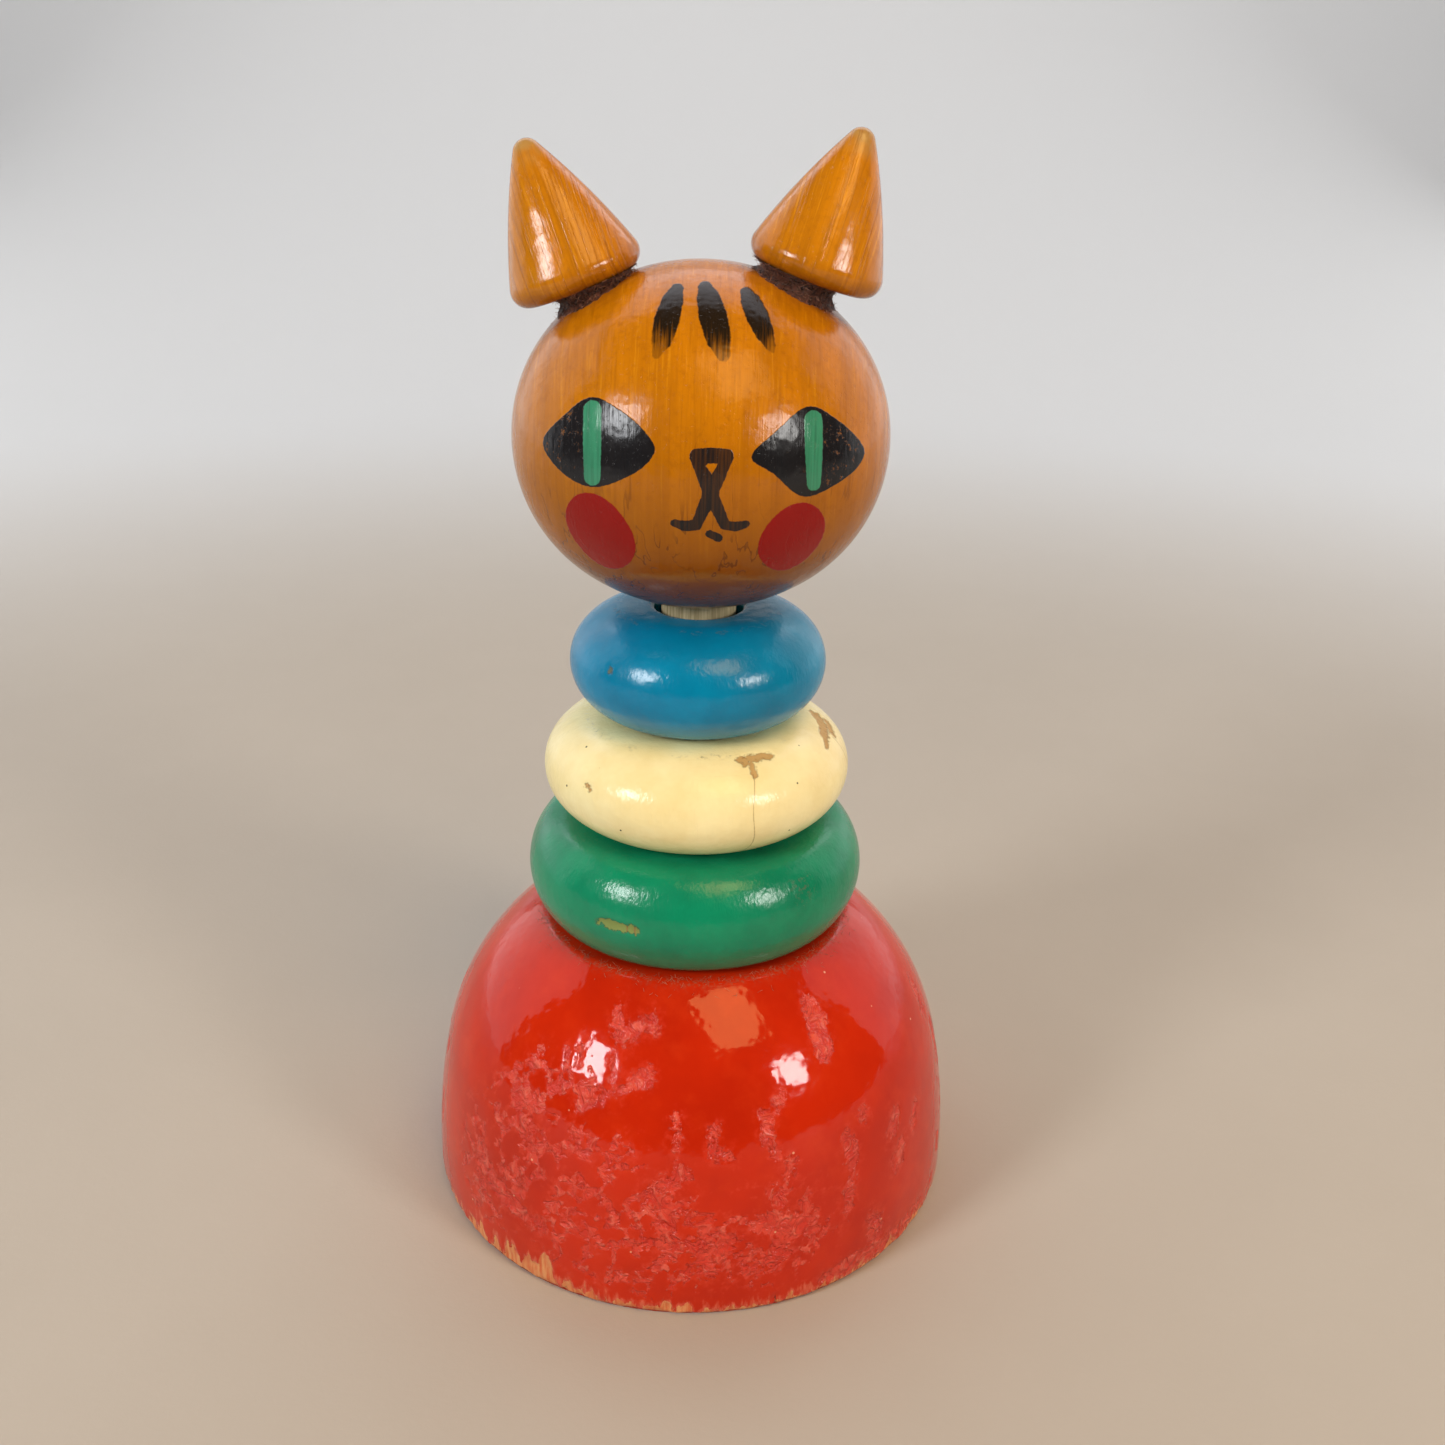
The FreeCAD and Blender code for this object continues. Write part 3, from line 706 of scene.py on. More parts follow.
def ring_outline(settings, colour_name):
    """The ring's section, from its lower hole edge round the outside and up the hole."""
    radius, low, high = RING_LEVELS[colour_name]
    nose, shoulder = RING_CURVES[colour_name]
    middle = (high - low) / 2
    side = 1 if nose > shoulder else -1
    span = math.sqrt((nose - shoulder) ** 2 - (middle - shoulder) ** 2)
    nose_centre = (radius - nose, low + middle)
    corner = nose_centre[0] + side * span
    bend = math.atan2(side * (middle - shoulder), span)
    bore, soft = settings.bore, settings.bore_round
    points = arc((bore + soft, low + soft), soft, -math.pi, -QUARTER, 0.3 * MM)
    points += straight(points[-1], (corner, low), 1 * MM)
    points += arc((corner, low + shoulder), shoulder, -QUARTER, -bend, 0.5 * MM)[1:]
    points += arc(nose_centre, nose, -bend, bend, 0.5 * MM)[1:]
    points += arc((corner, high - shoulder), shoulder, bend, QUARTER, 0.5 * MM)[1:]
    points += straight(points[-1], (bore + soft, high), 1 * MM)
    points += arc((bore + soft, high - soft), soft, QUARTER, math.pi, 0.3 * MM)[1:]
    return points + straight(points[-1], (bore, low + soft))


def chip_field(points, colour_name, centre):
    """Distance outside the chips in mm; a chip's ends are found on the ring's section."""
    radial = from_axis(points) - centre[0]
    azimuth = bearing(points)
    section = np.degrees(np.arctan2(points[:, 2] - centre[1], radial))
    field = np.full(len(points), 9.0)
    for start_azimuth, start_angle, end_azimuth, end_angle, width in RING_CHIPS[colour_name]:
        ends = []
        for want_azimuth, want_angle in ((start_azimuth, start_angle), (end_azimuth, end_angle)):
            turned_gap = degrees_off(azimuth, want_azimuth)
            ends.append(points[np.argmin(np.hypot(turned_gap, section - want_angle))])
        field = np.minimum(field, to_line(points, *ends)[0] - width)
    return field


def hairline_field(points):
    """Signed distance in mm across the cracks in the cream enamel; 9 beyond their ends."""
    azimuth = bearing(points)
    radial = from_axis(points)
    field = np.full(len(points), 9.0)
    for start, end, low, high in HAIRLINES:
        share = (points[:, 2] - low) / (high - low)
        way = start + (end - start) * share + 1.2 * np.sin(share * 7)
        gap = np.radians(degrees_off(azimuth, way)) * radial
        inside = (share > 0) & (share < 1) & (radial > 17) & (np.abs(gap) < np.abs(field))
        field = np.where(inside, gap, field)
    return field


# Face -----------------------------------------------------------------------------------

# The face is laid out in mm on a plane tipped back 12 degrees: across, up from the equator.
FACE_TILT = math.radians(12)
EYES = [
    [(-21.9, -1.2), (-18.6, 2.5), (-14.7, 5.0), (-10.8, 3.5), (-7.2, 0.7), (-5.7, -2.0),
     (-8.3, -4.9), (-14.2, -7.1), (-19.0, -5.2)],
    [(7.3, -2.5), (10.6, 1.0), (14.9, 4.4), (19.2, 2.7), (22.8, -0.2), (23.4, -2.4),
     (20.8, -5.2), (14.9, -7.8), (10.4, -4.7)],
]
SLITS = [[(-14.4, 3.3, 1.3), (-14.4, -1.0, 1.3), (-14.4, -5.7, 1.2)],
         [(15.7, 2.6, 1.3), (15.9, -1.5, 1.25), (16.1, -6.0, 1.0)]]
# Cheeks: middle, half length, half width and the long axis in degrees.
CHEEKS = [(-13.6, -13.4, 6.0, 4.2, -52), (13.4, -13.6, 5.4, 4.0, 50)]
STRIPES = [
    [(-3.4, 20.0, 0.95), (-3.9, 18.4, 1.5), (-4.6, 15.4, 1.8), (-5.1, 12.8, 1.45),
     (-5.8, 10.7, 0.6)],
    [(0.5, 20.3, 1.05), (1.0, 18.7, 1.65), (1.7, 16.2, 1.95), (2.5, 13.2, 1.75),
     (3.2, 11.0, 1.0), (3.5, 10.3, 0.4)],
    [(6.2, 19.8, 0.9), (6.9, 18.4, 1.45), (7.8, 16.3, 1.6), (8.8, 14.0, 1.3),
     (9.6, 12.3, 0.7), (9.9, 11.7, 0.35)],
]
NOSE = [
    [(-0.1, -2.5, 0.95), (1.9, -2.4, 1.05), (4.0, -2.4, 0.95)],
    [(-0.2, -2.9, 0.7), (1.0, -5.2, 0.95), (1.9, -7.4, 1.0), (3.9, -11.7, 0.75)],
    [(4.1, -2.9, 0.7), (2.9, -5.2, 0.95), (1.9, -7.4, 1.0), (0.1, -11.7, 0.75)],
    [(-3.1, -11.6, 0.5), (-1.6, -12.0, 0.75), (0.1, -11.9, 0.7)],
    [(3.9, -11.8, 0.65), (5.4, -12.0, 0.7), (6.9, -11.6, 0.5)],
    [(1.8, -13.0, 0.55), (3.1, -13.6, 0.6)],
]


def stroke(points, spine):
    """Distance outside a brush stroke given as (across, up, half width), and the share
    of its length at each point."""
    gap, share = np.full(len(points), 99.0), np.zeros(len(points))
    for number, (start, end) in enumerate(zip(spine, spine[1:])):
        here, t = to_line(points, start[:2], end[:2])
        here -= start[2] + (end[2] - start[2]) * t
        share = np.where(here < gap, (number + t) / (len(spine) - 1), share)
        gap = np.minimum(gap, here)
    return gap, share


def loop_distance(points, corners, pieces=8):
    """Distance outside the smooth closed line through the corners; inside is negative."""
    corners = np.array(corners)
    before, after, next_after = (np.roll(corners, shift, axis=0) for shift in (1, -1, -2))
    line = []
    for t in np.arange(pieces) / pieces:
        line.append(0.5 * (2 * corners + (after - before) * t
                           + (2 * before - 5 * corners + 4 * after - next_after) * t ** 2
                           + (3 * corners - before - 3 * after + next_after) * t ** 3))
    line = np.stack(line, axis=1).reshape(-1, 2)
    gap, inside = np.full(len(points), 99.0), np.zeros(len(points), bool)
    for a, b in zip(line, np.roll(line, -1, axis=0)):
        gap = np.minimum(gap, to_line(points, a, b)[0])
        crosses = (a[1] > points[:, 1]) != (b[1] > points[:, 1])
        rise = np.where(b[1] == a[1], 1e-9, b[1] - a[1])
        inside ^= crosses & (points[:, 0] < a[0] + (points[:, 1] - a[1]) * (b[0] - a[0]) / rise)
    return np.where(inside, -gap, gap)


def oval(points, across, up, half_length, half_width, angle):
    """Distance outside a slightly squared oval."""
    turn = math.radians(angle)
    x, y = points[:, 0] - across, points[:, 1] - up
    along = (x * math.cos(turn) + y * math.sin(turn)) / half_length
    side = (-x * math.sin(turn) + y * math.cos(turn)) / half_width
    return ((np.abs(along) ** 2.2 + np.abs(side) ** 2.2) ** (1 / 2.2) - 1) * half_width


def paint_face(piece):
    """Store how far each vertex is outside each painted shape."""
    points = places(piece)
    level = points[:, 2] - HEAD_LEVEL / MM
    up = level * math.cos(FACE_TILT) + points[:, 1] * math.sin(FACE_TILT)
    flat = np.stack([points[:, 0], up], axis=1)
    behind = np.where(points[:, 1] < -2, 0.0, 30.0)
    strokes = [stroke(flat, spine) for spine in STRIPES]
    gaps = np.stack([gap for gap, _ in strokes])
    pick = np.argmin(gaps, axis=0)
    shares = np.stack([share for _, share in strokes])
    store(piece, "stripe", gaps.min(axis=0) + behind)
    store(piece, "fade", np.take_along_axis(shares, pick[None], axis=0)[0])
    store(piece, "eye", np.minimum(*(loop_distance(flat, eye) for eye in EYES)) + behind)
    store(piece, "slit", np.minimum(*(stroke(flat, slit)[0] for slit in SLITS)) + behind)
    store(piece, "cheek", np.minimum(*(oval(flat, *cheek) for cheek in CHEEKS)) + behind)
    store(piece, "nose", np.min([stroke(flat, part)[0] for part in NOSE], axis=0) + behind)
    store(piece, "rubbed", np.clip((points[:, 0] - 14) / 6, 0, 1)
          + 0.6 * np.clip((-15 - points[:, 0]) / 3, 0, 1))
    # How far below the face each place is: this sets the painted shade toward the chin and where
    # the chin cracks run.
    store(piece, "low", np.clip((4 - up) / 22, 0, 1.4))
    store(piece, "worn", np.zeros(len(points)))


def seen_from(matrix, points):
    """Places in millimetres in a piece's own frame."""
    return (points * MM - np.array(matrix.translation)) @ np.array(matrix.to_3x3()) / MM


def shade_and_dirt_round_ears(piece, ear):
    """Store the darkening round the foot of each ear: painted shade under the ear's base, with dirt
    in the varnish.
    """
    points = places(piece)
    stain = np.zeros(len(points))
    for word in EAR_SIDES:
        local = seen_from(ear_place(ear, word), points)
        gap = np.hypot(local[:, 0], local[:, 1]) - 7.0
        stain = np.maximum(stain, np.exp(-np.clip(gap, 0, 99) / 1.6) * (local[:, 2] > -14))
    store(piece, "stain", 0.9 * stain)


# Pieces ---------------------------------------------------------------------------------

def dome_outline(dome):
    """From the middle of the underside round the outside to the floor of the socket."""
    flank_centre = (DOME_RADIUS - dome.flank, dome.belly)
    bend = math.asin((dome.shoulder - dome.belly) / dome.flank)
    crown_centre = (flank_centre[0] + (dome.flank - dome.crown) * math.cos(bend),
                    flank_centre[1] + (dome.flank - dome.crown) * math.sin(bend))
    foot, land = dome.foot_round, dome.land_round
    foot_span = dome.flank - foot
    foot_x = flank_centre[0] + math.sqrt(foot_span ** 2 - (foot - dome.belly) ** 2)
    foot_angle = math.atan2(foot - dome.belly, foot_x - flank_centre[0])
    land_span = dome.crown - land
    land_level = DOME_LAND - land
    land_x = crown_centre[0] + math.sqrt(land_span ** 2 - (land_level - crown_centre[1]) ** 2)
    land_angle = math.atan2(land_level - crown_centre[1], land_x - crown_centre[0])
    points = [(0, 0)] + straight((0, 0), (foot_x, 0), 4 * MM)
    points += arc((foot_x, foot), foot, -QUARTER, foot_angle, 0.3 * MM)[1:]
    points += arc(flank_centre, dome.flank, foot_angle, bend, 0.55 * MM)[1:]
    points += arc(crown_centre, dome.crown, bend, land_angle, 0.6 * MM)[1:]
    points += arc((land_x, land_level), land, land_angle, QUARTER, 0.4 * MM)[1:]
    points += straight(points[-1], (POST_RADIUS, DOME_LAND), 1.5 * MM)
    points += straight(points[-1], (POST_RADIUS, POST_FOOT), 6 * MM)
    return points + straight(points[-1], (0, POST_FOOT), 3 * MM)


class MakeDome(bpy.types.Operator):
    """Turn the lacquered dome and flake its lacquer"""
    bl_idname = "toy.make_dome"
    bl_label = "Dome"

    def execute(self, context):
        settings = context.scene.toy.dome
        piece = turned("dome_lacquered", dome_outline(settings), STEPS["dome"])
        points = places(piece)
        flakes = flake_field(points, context.scene.toy.seed)
        bare = bare_field(points)
        outside = (points[:, 2] > 0.2) & (from_axis(points) > UNDER_RING)
        depth = settings.flake_depth / MM * step_down(flakes, 0.8)
        depth += 0.16 * step_down(flakes, 0.8) * wobble(points, 1.9, 11, 4, only=flakes < 1)
        depth += 0.22 * step_down(bare, 0.8) * (1 + wobble(points, 2.2, 5, only=bare < 1))
        azimuth = bearing(points)
        near_foot = points[:, 2] < 8
        split = np.full(len(points), 9.0)
        for middle, height in DOME_SPLITS:
            shake = 0.8 * wobble(points, 2.5, 6, only=near_foot)
            across = np.abs((azimuth - middle + shake) * 0.8)
            split = np.minimum(split, across + np.clip(points[:, 2] - height, 0, 9))
        depth += 0.35 * step_down(split - 0.3, 0.4)
        press_in(piece, np.where(outside, np.clip(depth, 0, 1), 0))
        radial = from_axis(points)
        store(piece, "flake", np.where(outside, flakes, 9))
        store(piece, "bare", np.where(outside, bare, 9))
        store(piece, "split", np.where(outside, split, 9))
        store(piece, "dust", np.exp(-((radial - RING_SEAT) / 1.0) ** 2))
        dress(piece, flaked_lacquer(settings), "base", "red_lacquer", "base_dome")
        return {"FINISHED"}


class MakePost(bpy.types.Operator):
    """Make the bare dowel"""
    bl_idname = "toy.make_post"
    bl_label = "Post"

    def execute(self, context):
        soft = 0.5 * MM
        chamfer = 1 * MM
        points = [(0, POST_FOOT)] + straight((0, POST_FOOT), (POST_RADIUS - 0.02 * MM, POST_FOOT))
        points += straight(points[-1], (POST_RADIUS - 0.02 * MM, POST_TOP - chamfer - soft), 1 * MM)
        points += straight(points[-1], (POST_RADIUS - chamfer, POST_TOP), 0.35 * MM)
        points += straight(points[-1], (0, POST_TOP), 1 * MM)
        piece = turned("post_dowel", points, STEPS["post"])
        dress(piece, bare_dowel("Bare birch dowel"), "base", "bare_dowel", "centre_post")
        return {"FINISHED"}


class MakeRings(bpy.types.Operator):
    """Turn and enamel the three rings"""
    bl_idname = "toy.make_rings"
    bl_label = "Rings"

    def execute(self, context):
        settings = context.scene.toy.ring
        shades = {"green": "#0A7854", "cream": "#F0DC9C", "blue": "#00749A"}
        for colour_name, (radius, low, high) in RING_LEVELS.items():
            piece = turned("enamel_ring_" + colour_name, ring_outline(settings, colour_name),
                           STEPS["ring"])
            points = places(piece)
            nose = RING_CURVES[colour_name][0]
            centre = ((radius - nose) / MM, (low + high) / 2 / MM)
            chips = chip_field(points, colour_name, centre) + 0.3 * wobble(points, 1.6, 8)
            press_in(piece, 0.22 * step_down(chips, 0.25))
            radial = from_axis(points)
            seat = np.exp(-((radial - centre[0] - 0.6) / 0.5) ** 2) * (points[:, 2] > centre[1])
            seat *= 0.9 * np.clip(0.4 + 1.6 * wobble(points, 9, 12), 0, 1)
            near_hole = np.exp(-((radial - settings.bore / MM) / 0.9) ** 2)
            if colour_name == "green":
                pitted = np.array(PITTED)
                near_hole += np.exp(-(np.linalg.norm(points - pitted, axis=1) / 2.2) ** 2)
            store(piece, "chip", chips)
            store(piece, "hairline", hairline_field(points) if colour_name == "cream" else
                  np.full(len(points), 9.0))
            store(piece, "grime", np.clip(seat + near_hole, 0, 1))
            material = gloss_enamel("%s gloss enamel" % colour_name.capitalize(),
                                    getattr(settings, colour_name), linear(shades[colour_name]),
                                    getattr(settings, colour_name + "_chip"))
            dress(piece, material, colour_name + "_ring", colour_name + "_enamel",
                  "ring_" + colour_name)
        return {"FINISHED"}


def head_curves(head):
    """How far the crown's centre is off the equator, the side's curvature, and the angle
    where the two meet."""
    lift = head.crown - HEAD_HALF
    side = (head.crown ** 2 - HEAD_RADIUS ** 2 - lift ** 2) / (2 * (head.crown - HEAD_RADIUS))
    return lift, side, math.atan2(lift, HEAD_RADIUS - side)


def head_outline(head):
    """From the floor of the hole, down and round the ball to its crown."""
    lift, side, bend = head_curves(head)
    drop = HEAD_LEVEL - CHIN_LEVEL
    flat_x = math.sqrt(head.crown ** 2 - (drop + lift) ** 2)
    chin_angle = math.atan2(-drop - lift, flat_x)
    floor = CHIN_LEVEL + head.bore_depth
    points = [(0, floor)] + straight((0, floor), (head.bore, floor))
    points += straight(points[-1], (head.bore, CHIN_LEVEL), 3 * MM)
    points += straight(points[-1], (flat_x, CHIN_LEVEL), 0.5 * MM)
    points += arc((0, HEAD_LEVEL + lift), head.crown, chin_angle, -bend, 0.5 * MM)[1:]
    points += arc((HEAD_RADIUS - side, HEAD_LEVEL), side, -bend, bend, 0.5 * MM)[1:]
    return points + arc((0, HEAD_LEVEL - lift), head.crown, bend, QUARTER, 0.5 * MM)[1:]


class MakeHead(bpy.types.Operator):
    """Turn the varnished ball and paint its face"""
    bl_idname = "toy.make_head"
    bl_label = "Head"

    def execute(self, context):
        settings = context.scene.toy.head
        piece = turned("head_painted", head_outline(settings), STEPS["head"])
        paint_face(piece)
        shade_and_dirt_round_ears(piece, context.scene.toy.ear)
        dress(piece, painted_face(settings), "head", "amber_varnish", "head_ball")
        return {"FINISHED"}


def ear_place(ear, word):
    """The ear's frame: its origin at the middle of the base, Z along the cone."""
    side = EAR_SIDES[word]
    offset, rise, lean = (getattr(ear, "%s_%s" % (word, what))
                          for what in ("offset", "rise", "lean"))
    middle = Vector((side * offset, 0, HEAD_LEVEL + rise))
    return Matrix.Translation(middle) @ Matrix.Rotation(side * lean, 4, "Y")


def ear_outline(ear):
    """From the middle of the base round the edge and up the full flank to the tip."""
    low = Vector((ear.radius - ear.base_round, ear.base_round))
    high = Vector((0, ear.height - ear.tip_round))
    low_reach, high_reach = ear.flank - ear.base_round, ear.flank - ear.tip_round
    spread = (high - low).length
    along = (high - low) / spread
    share = (low_reach ** 2 - high_reach ** 2 + spread ** 2) / (2 * spread)
    inward = Vector((-along.y, along.x))
    middle = low + along * share + inward * math.sqrt(low_reach ** 2 - share ** 2)
    start = math.atan2(*(low - middle).yx)
    end = math.atan2(*(high - middle).yx)
    points = [(0, 0)] + straight((0, 0), (low.x, 0), 1.5 * MM)
    points += arc(low, ear.base_round, -QUARTER, start, 0.3 * MM)[1:]
    points += arc(middle, ear.flank, start, end, 0.5 * MM)[1:]
    return points + arc(high, ear.tip_round, end, QUARTER, 0.25 * MM)[1:]


class MakeEars(bpy.types.Operator):
    """Turn the two cone ears"""
    bl_idname = "toy.make_ears"
    bl_label = "Ears"

    def execute(self, context):
        ear, head = context.scene.toy.ear, context.scene.toy.head
        for word in EAR_SIDES:
            matrix = ear_place(ear, word)
            piece = turned("ear_cone_" + word, ear_outline(ear), STEPS["ear"], matrix)
            points = places(piece)
            level = seen_from(matrix, points)[:, 2]
            tip = np.clip((level - 17.5) / 3.5, 0, 1)
            rub = np.clip(tip * (0.7 + 0.8 * wobble(points, 3.0, 9)), 0, 0.8)
            store(piece, "worn", rub)
            # Darker toward the ear's base: painted shade on its underside, with some dirt.
            store(piece, "stain", 0.75 * np.clip(1 - level / 4.5, 0, 1) ** 1.5)
            turn = -matrix.to_euler().y
            dress(piece, ear_wood("Amber shellac on maple, %s ear" % word, head, turn),
                  "head", "amber_varnish", "ear_" + word)
        return {"FINISHED"}


def ball_level(head, across, deep):
    """Height of the ball's upper surface over a place, for the glue to land on."""
    lift, side, bend = head_curves(head)
    radial = math.hypot(across, deep)
    if radial < head.crown * math.cos(bend):
        return HEAD_LEVEL - lift + math.sqrt(head.crown ** 2 - radial ** 2)
    return HEAD_LEVEL + math.sqrt(max(side ** 2 - (radial - HEAD_RADIUS + side) ** 2, 0))


def settle(head, matrix, local):
    """Move a place along the ear's axis down to the ball's surface."""
    place = matrix @ Vector(local)
    axis = (matrix.to_3x3() @ Vector((0, 0, 1))).normalized()
    for _ in range(30):
        place -= axis * (place.z - ball_level(head, place.x, place.y)) * 0.8
    return place


# The glue bead's half widths across and front to back, how far in from the ear's axis it
# sits, how far it reaches into the ear and into the ball, and how its waist is drawn in.
BEAD_ACROSS, BEAD_DEEP, BEAD_INWARD = 5.504 * MM, 6.794 * MM, 1.9 * MM
INTO_EAR, INTO_BALL = 0.15 * MM, 0.25 * MM
BEAD_WAIST, BEAD_SPREAD = 0.26, 0.07
BEAD_STEPS, BEAD_CUTS = 120, 9


class MakeGlue(bpy.types.Operator):
    """Fill the wedge between each ear and the ball with an old bead of glue"""
    bl_idname = "toy.make_glue"
    bl_label = "Glue beads"

    def execute(self, context):
        ear, head = context.scene.toy.ear, context.scene.toy.head
        material = old_glue(ear)
        for word, side in EAR_SIDES.items():
            matrix = ear_place(ear, word)
            bm = bmesh.new()
            for _ in range(2):
                low = bmesh.ops.create_circle(bm, segments=BEAD_STEPS, radius=1, cap_ends=True)
            for vert in low["verts"]:
                vert.co.z = -1
            rims = list(bm.edges)
            for face in list(bm.faces):
                bm.faces.remove(face)
            bmesh.ops.bridge_loops(bm, edges=rims)
            posts = [e for e in bm.edges if abs(e.verts[0].co.z - e.verts[1].co.z) > 0.5]
            bmesh.ops.subdivide_edges(bm, edges=posts, cuts=BEAD_CUTS)
            bmesh.ops.holes_fill(bm, edges=[e for e in bm.edges if e.is_boundary], sides=0)
            for vert in bm.verts:
                down = -vert.co.z
                flare = 1 + BEAD_WAIST * (2 * down - 1) ** 2 + BEAD_SPREAD * down
                local = (vert.co.x * BEAD_ACROSS * flare - side * BEAD_INWARD,
                         vert.co.y * BEAD_DEEP * flare)
                head_end = settle(head, matrix, (*local, 0.0))
                head_end -= matrix.to_3x3() @ Vector((0, 0, INTO_BALL))
                ear_end = matrix @ Vector((*local, INTO_EAR))
                vert.co = ear_end.lerp(head_end, down)
            bmesh.ops.recalc_face_normals(bm, faces=bm.faces)
            piece = finished("glue_bead_" + word, bm)
            points = places(piece)
            press_in(piece, 0.28 * wobble(points, 1.1, 10, 4))
            dress(piece, material, "head", "amber_varnish")
        return {"FINISHED"}


def fibres(name, roots, reach_mm, thickness, chance):
    """Short bent fibres: each root is a place and the way out from the surface."""
    curve = bpy.data.curves.new(name, "CURVE")
    curve.dimensions = "3D"
    curve.bevel_depth = thickness / 2
    curve.bevel_resolution = 0
    for root, out in roots:
        across = Vector([chance.uniform(-1, 1) for _ in range(3)]).normalized()
        size = chance.uniform(0.4, 1.0) * reach_mm * MM
        bend = Vector([chance.uniform(-1, 1) for _ in range(3)]) * size * 0.5
        spline = curve.splines.new("POLY")
        spline.points.add(4)
        for number, point in enumerate(spline.points):
            t = number / 4
            way = across + out * 0.35 * (1 - (2 * t - 1) ** 2)
            spot = root + out * 0.03 * MM + way * size * (t - 0.5) + bend * t * t * 0.6
            lift = (spot - root).dot(out)
            if lift < 0:
                spot -= out * lift
            point.co = (*spot, 1)
    holder = bpy.data.objects.new(name + "_lines", curve)
    mesh = bpy.data.meshes.new_from_object(holder)
    bpy.data.objects.remove(holder)
    piece = bpy.data.objects.new(name, mesh)
    bpy.context.scene.collection.objects.link(piece)
    return piece


# How many fibres lie round the dome's top and round each ear.
DOME_FIBRES, EAR_FIBRES = 560, 260


class MakeDust(bpy.types.Operator):
    """Lay lint where the lowest ring meets the dome and round the ears' glue"""
    bl_idname = "toy.make_dust"
    bl_label = "Dust"

    def execute(self, context):
        chance = random.Random(context.scene.toy.seed + 1)
        outline = dome_outline(context.scene.toy.dome)
        edge = [p for p in outline if 24.5 * MM < p[0] < 29 * MM and p[1] > DOME_LAND / 2]
        roots = []
        for _ in range(DOME_FIBRES):
            azimuth = chance.uniform(0, TURN)
            pick = min(int(abs(chance.gauss(0, 0.35)) * len(edge)), len(edge) - 2)
            radius, level = edge[-1 - pick]
            inner_radius, inner_level = edge[-2 - pick]
            slope = Vector((inner_level - level, radius - inner_radius)).normalized()
            out = Vector((math.sin(azimuth) * abs(slope[0]), -math.cos(azimuth) * abs(slope[0]),
                          abs(slope[1])))
            root = Vector((math.sin(azimuth) * radius, -math.cos(azimuth) * radius, level))
            roots.append((root, out.normalized()))
        material = lint_fibre()
        piece = fibres("dome_lint", roots, 1.2, 0.045 * MM, chance)
        dress(piece, material, "base", "bare_dowel")
        for word in EAR_SIDES:
            bead = bpy.data.objects["glue_bead_" + word].data
            picks = [bead.vertices[chance.randrange(len(bead.vertices))]
                     for _ in range(EAR_FIBRES)]
            roots = [(v.co.copy(), v.normal.copy()) for v in picks]
            piece = fibres("ear_lint_" + word, roots, 1.4, 0.05 * MM, chance)
            dress(piece, material, "head", "bare_dowel")
        return {"FINISHED"}


class FinishPegs(bpy.types.Operator):
    """Give the two hidden pegs their bare wood"""
    bl_idname = "toy.finish_pegs"
    bl_label = "Ear pegs"

    def execute(self, context):
        material = bare_dowel("Bare birch peg")
        for name in ("ear_peg_left", "ear_peg_right"):
            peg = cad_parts[name]
            peg.data.materials.clear()
            peg.data.materials.append(material)
        return {"FINISHED"}


# Stage ----------------------------------------------------------------------------------

# Lights: name, azimuth from the face and elevation in degrees, distance, width and height
# in metres, watts and colour.
LIGHTS = [
    ("window_left", -50, 25, 0.7, 0.17, 0.20, 3.0, "#FAFCFF"),
    ("window_right", 50, 21, 0.7, 0.15, 0.17, 2.1, "#FFFCF8"),
    ("ceiling", 31, 57, 0.7, 0.30, 0.38, 2.0, "#FFCC80"),
    ("wall_left", -118, 22, 0.9, 0.9, 0.9, 2.6, "#FAFCFF"),
    ("wall_right", 122, 22, 0.9, 0.9, 0.9, 2.2, "#FAFCFF"),
    ("back", 180, 50, 1.1, 1.4, 0.7, 4.0, "#EEF3FF"),
]


def hang_lamp(name, place, way, width, height, watts, tint):
    """A soft panel at a place; way is the direction from what it lights to the panel."""
    light = bpy.data.lights.new(name, "AREA")
    light.shape = "RECTANGLE"
    light.size, light.size_y = width, height
    light.energy = watts
    light.color = linear(tint)[:3]
    lamp = bpy.data.objects.new(name, light)
    lamp.location = place
    lamp.rotation_euler = way.to_track_quat("Z", "Y").to_euler()
    lamp.visible_camera = False
    bpy.context.scene.collection.objects.link(lamp)


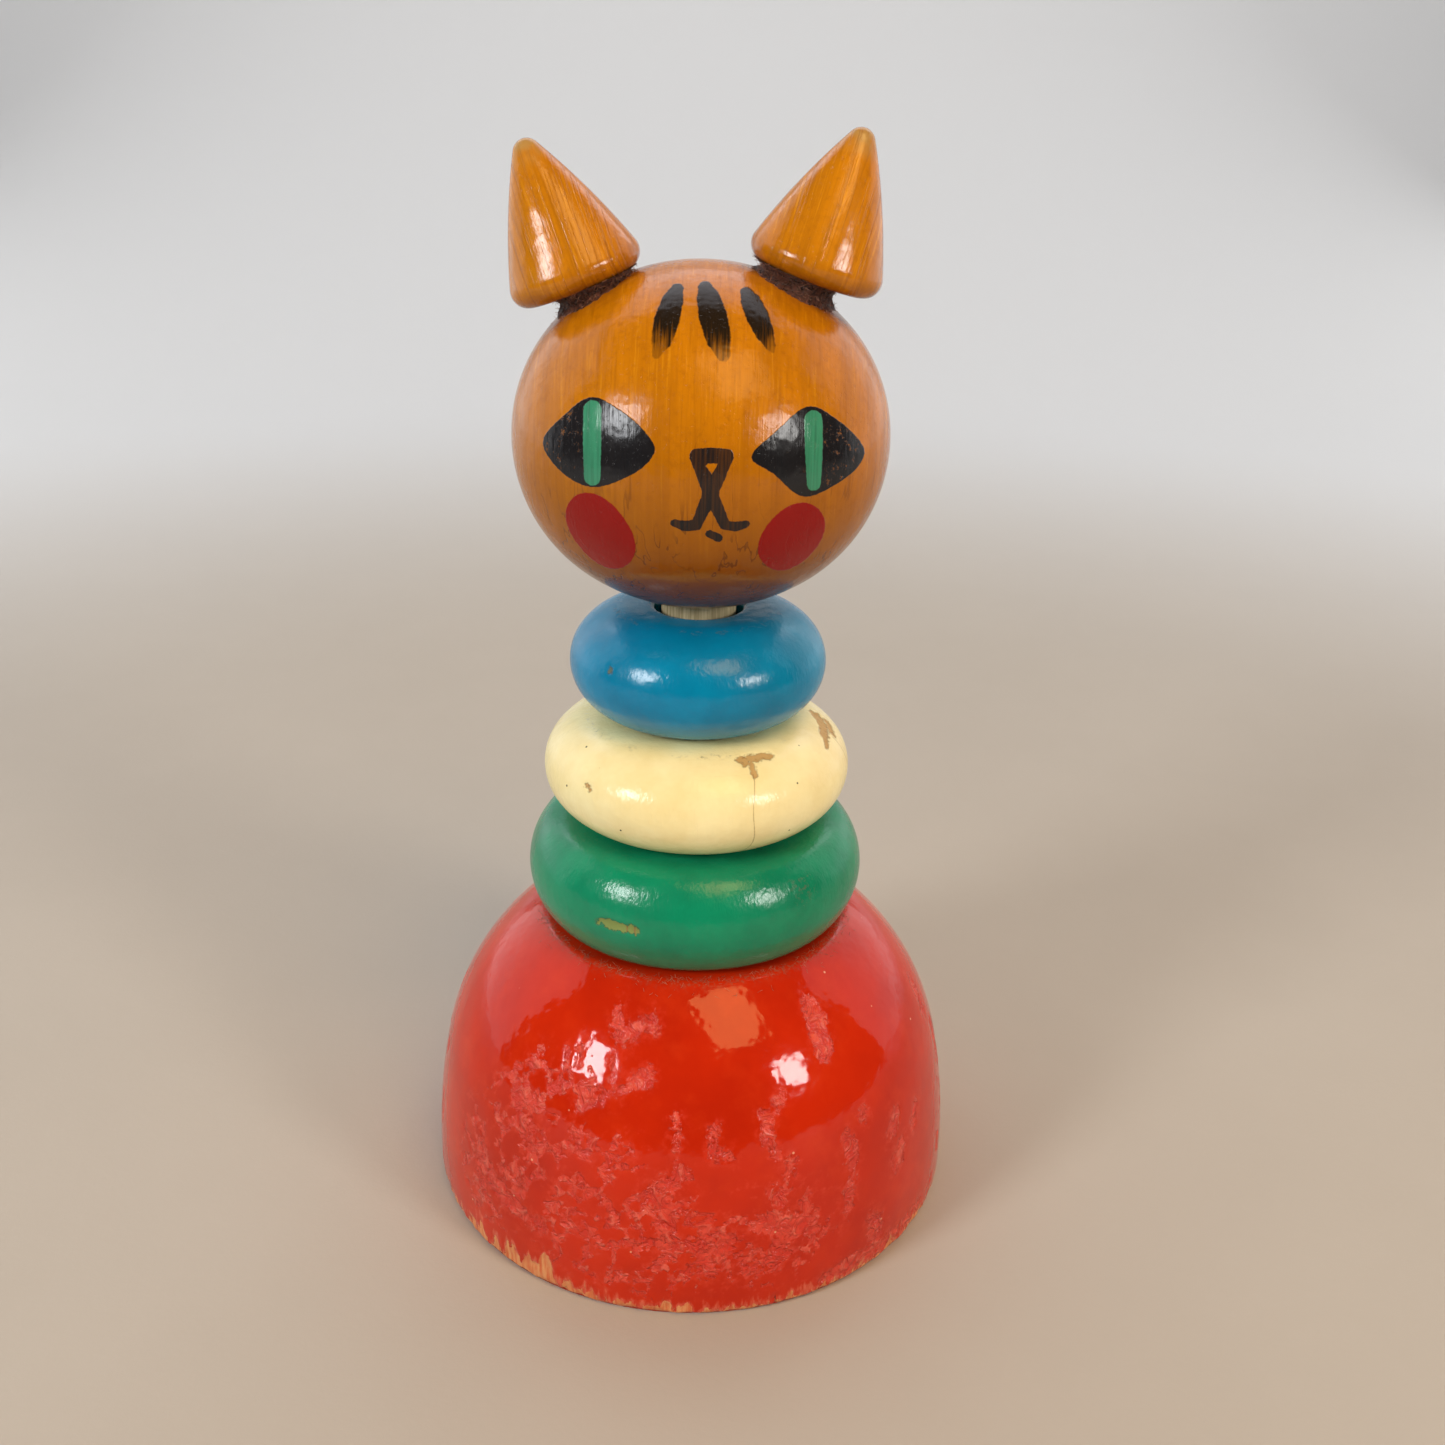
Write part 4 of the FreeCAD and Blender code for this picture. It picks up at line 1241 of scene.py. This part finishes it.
class MakeStage(bpy.types.Operator):
    """Set out the floor, the lights and the camera"""
    bl_idname = "toy.make_stage"
    bl_label = "Stage"

    def execute(self, context):
        scene, stage = context.scene, context.scene.toy.stage
        bm = bmesh.new()
        wide, front, back, tall, curve = 3.0, -2.2, 1.1, 2.4, 0.5
        line = [(front, 0.0), (back - curve, 0.0)]
        line += [(back - curve + curve * math.sin(a), curve - curve * math.cos(a))
                 for a in np.linspace(0.1, QUARTER, 14)]
        line.append((back, tall))
        verts = [bm.verts.new((-wide, deep, level)) for deep, level in line]
        edges = [bm.edges.new(pair) for pair in zip(verts, verts[1:])]
        swept = bmesh.ops.extrude_edge_only(bm, edges=edges)["geom"]
        moved = [item for item in swept if isinstance(item, bmesh.types.BMVert)]
        bmesh.ops.translate(bm, verts=moved, vec=(2 * wide, 0, 0))
        bmesh.ops.recalc_face_normals(bm, faces=bm.faces)
        sweep = finished("floor_sweep", bm)
        sweep.data.materials.append(matt_card(stage))

        target = Vector((0, 0, CAD_BOX[1][2] / 2))
        for name, azimuth, elevation, distance, width, height, watts, tint in LIGHTS:
            turn, rise = math.radians(azimuth), math.radians(elevation)
            way = Vector((math.sin(turn) * math.cos(rise), -math.cos(turn) * math.cos(rise),
                          math.sin(rise)))
            hang_lamp(name, target + way * distance, way, width, height, watts, tint)
        hang_lamp("backdrop", Vector((0, 0.35, 1.1)), Vector((0, -0.95, 0.3)), 2.4, 0.4, 9.0,
                  "#F4F8FF")
        world = bpy.data.worlds.new("room")
        world.use_nodes = True
        sky = world.node_tree.nodes["Background"]
        sky.inputs["Color"].default_value = linear("#D8E2F0")
        sky.inputs["Strength"].default_value = 0.08
        scene.world = world
        scene.view_settings.view_transform = "Standard"

        camera = bpy.data.objects.new("camera", bpy.data.cameras.new("camera"))
        camera.data.sensor_width = 36
        camera.data.lens = stage.lens
        aim = Vector((stage.aim_side, -stage.aim_front, stage.aim_level))
        look = (Matrix.Rotation(QUARTER - stage.pitch, 4, "X")
                @ Matrix.Rotation(stage.roll, 4, "Z"))
        camera.matrix_world = Matrix.Translation(
            aim + look.to_3x3() @ Vector((0, 0, stage.distance))) @ look
        scene.collection.objects.link(camera)
        scene.camera = camera
        return {"FINISHED"}


class ToyPanel(bpy.types.Panel):
    """The toy's sizes, colours and makers"""
    bl_idname = "TOY_PT_stacking_cat"
    bl_label = "Stacking cat"
    bl_space_type = "VIEW_3D"
    bl_region_type = "UI"
    bl_category = "Stacking cat"

    def draw(self, context):
        toy = context.scene.toy
        for heading in ("dome", "ring", "head", "ear", "stage"):
            group = getattr(toy, heading)
            box = self.layout.box()
            box.label(text=heading.capitalize())
            for name in group.__annotations__:
                box.prop(group, name)
        self.layout.prop(toy, "seed")
        for maker in MAKERS:
            self.layout.operator(maker.bl_idname)


MAKERS = [MakeStage, MakeDome, MakePost, MakeRings, MakeHead, MakeEars, MakeGlue, MakeDust,
          FinishPegs]
CLASSES = [DomeSettings, RingSettings, HeadSettings, EarSettings, StageSettings, ToySettings,
           *MAKERS, ToyPanel]


def register():
    for item in CLASSES:
        bpy.utils.register_class(item)
    bpy.types.Scene.toy = PointerProperty(type=ToySettings)


def unregister():
    del bpy.types.Scene.toy
    for item in reversed(CLASSES):
        bpy.utils.unregister_class(item)


def main():
    register()
    for maker in MAKERS:
        group, name = maker.bl_idname.split(".")
        getattr(getattr(bpy.ops, group), name)()


if __name__ == "__main__":
    main()
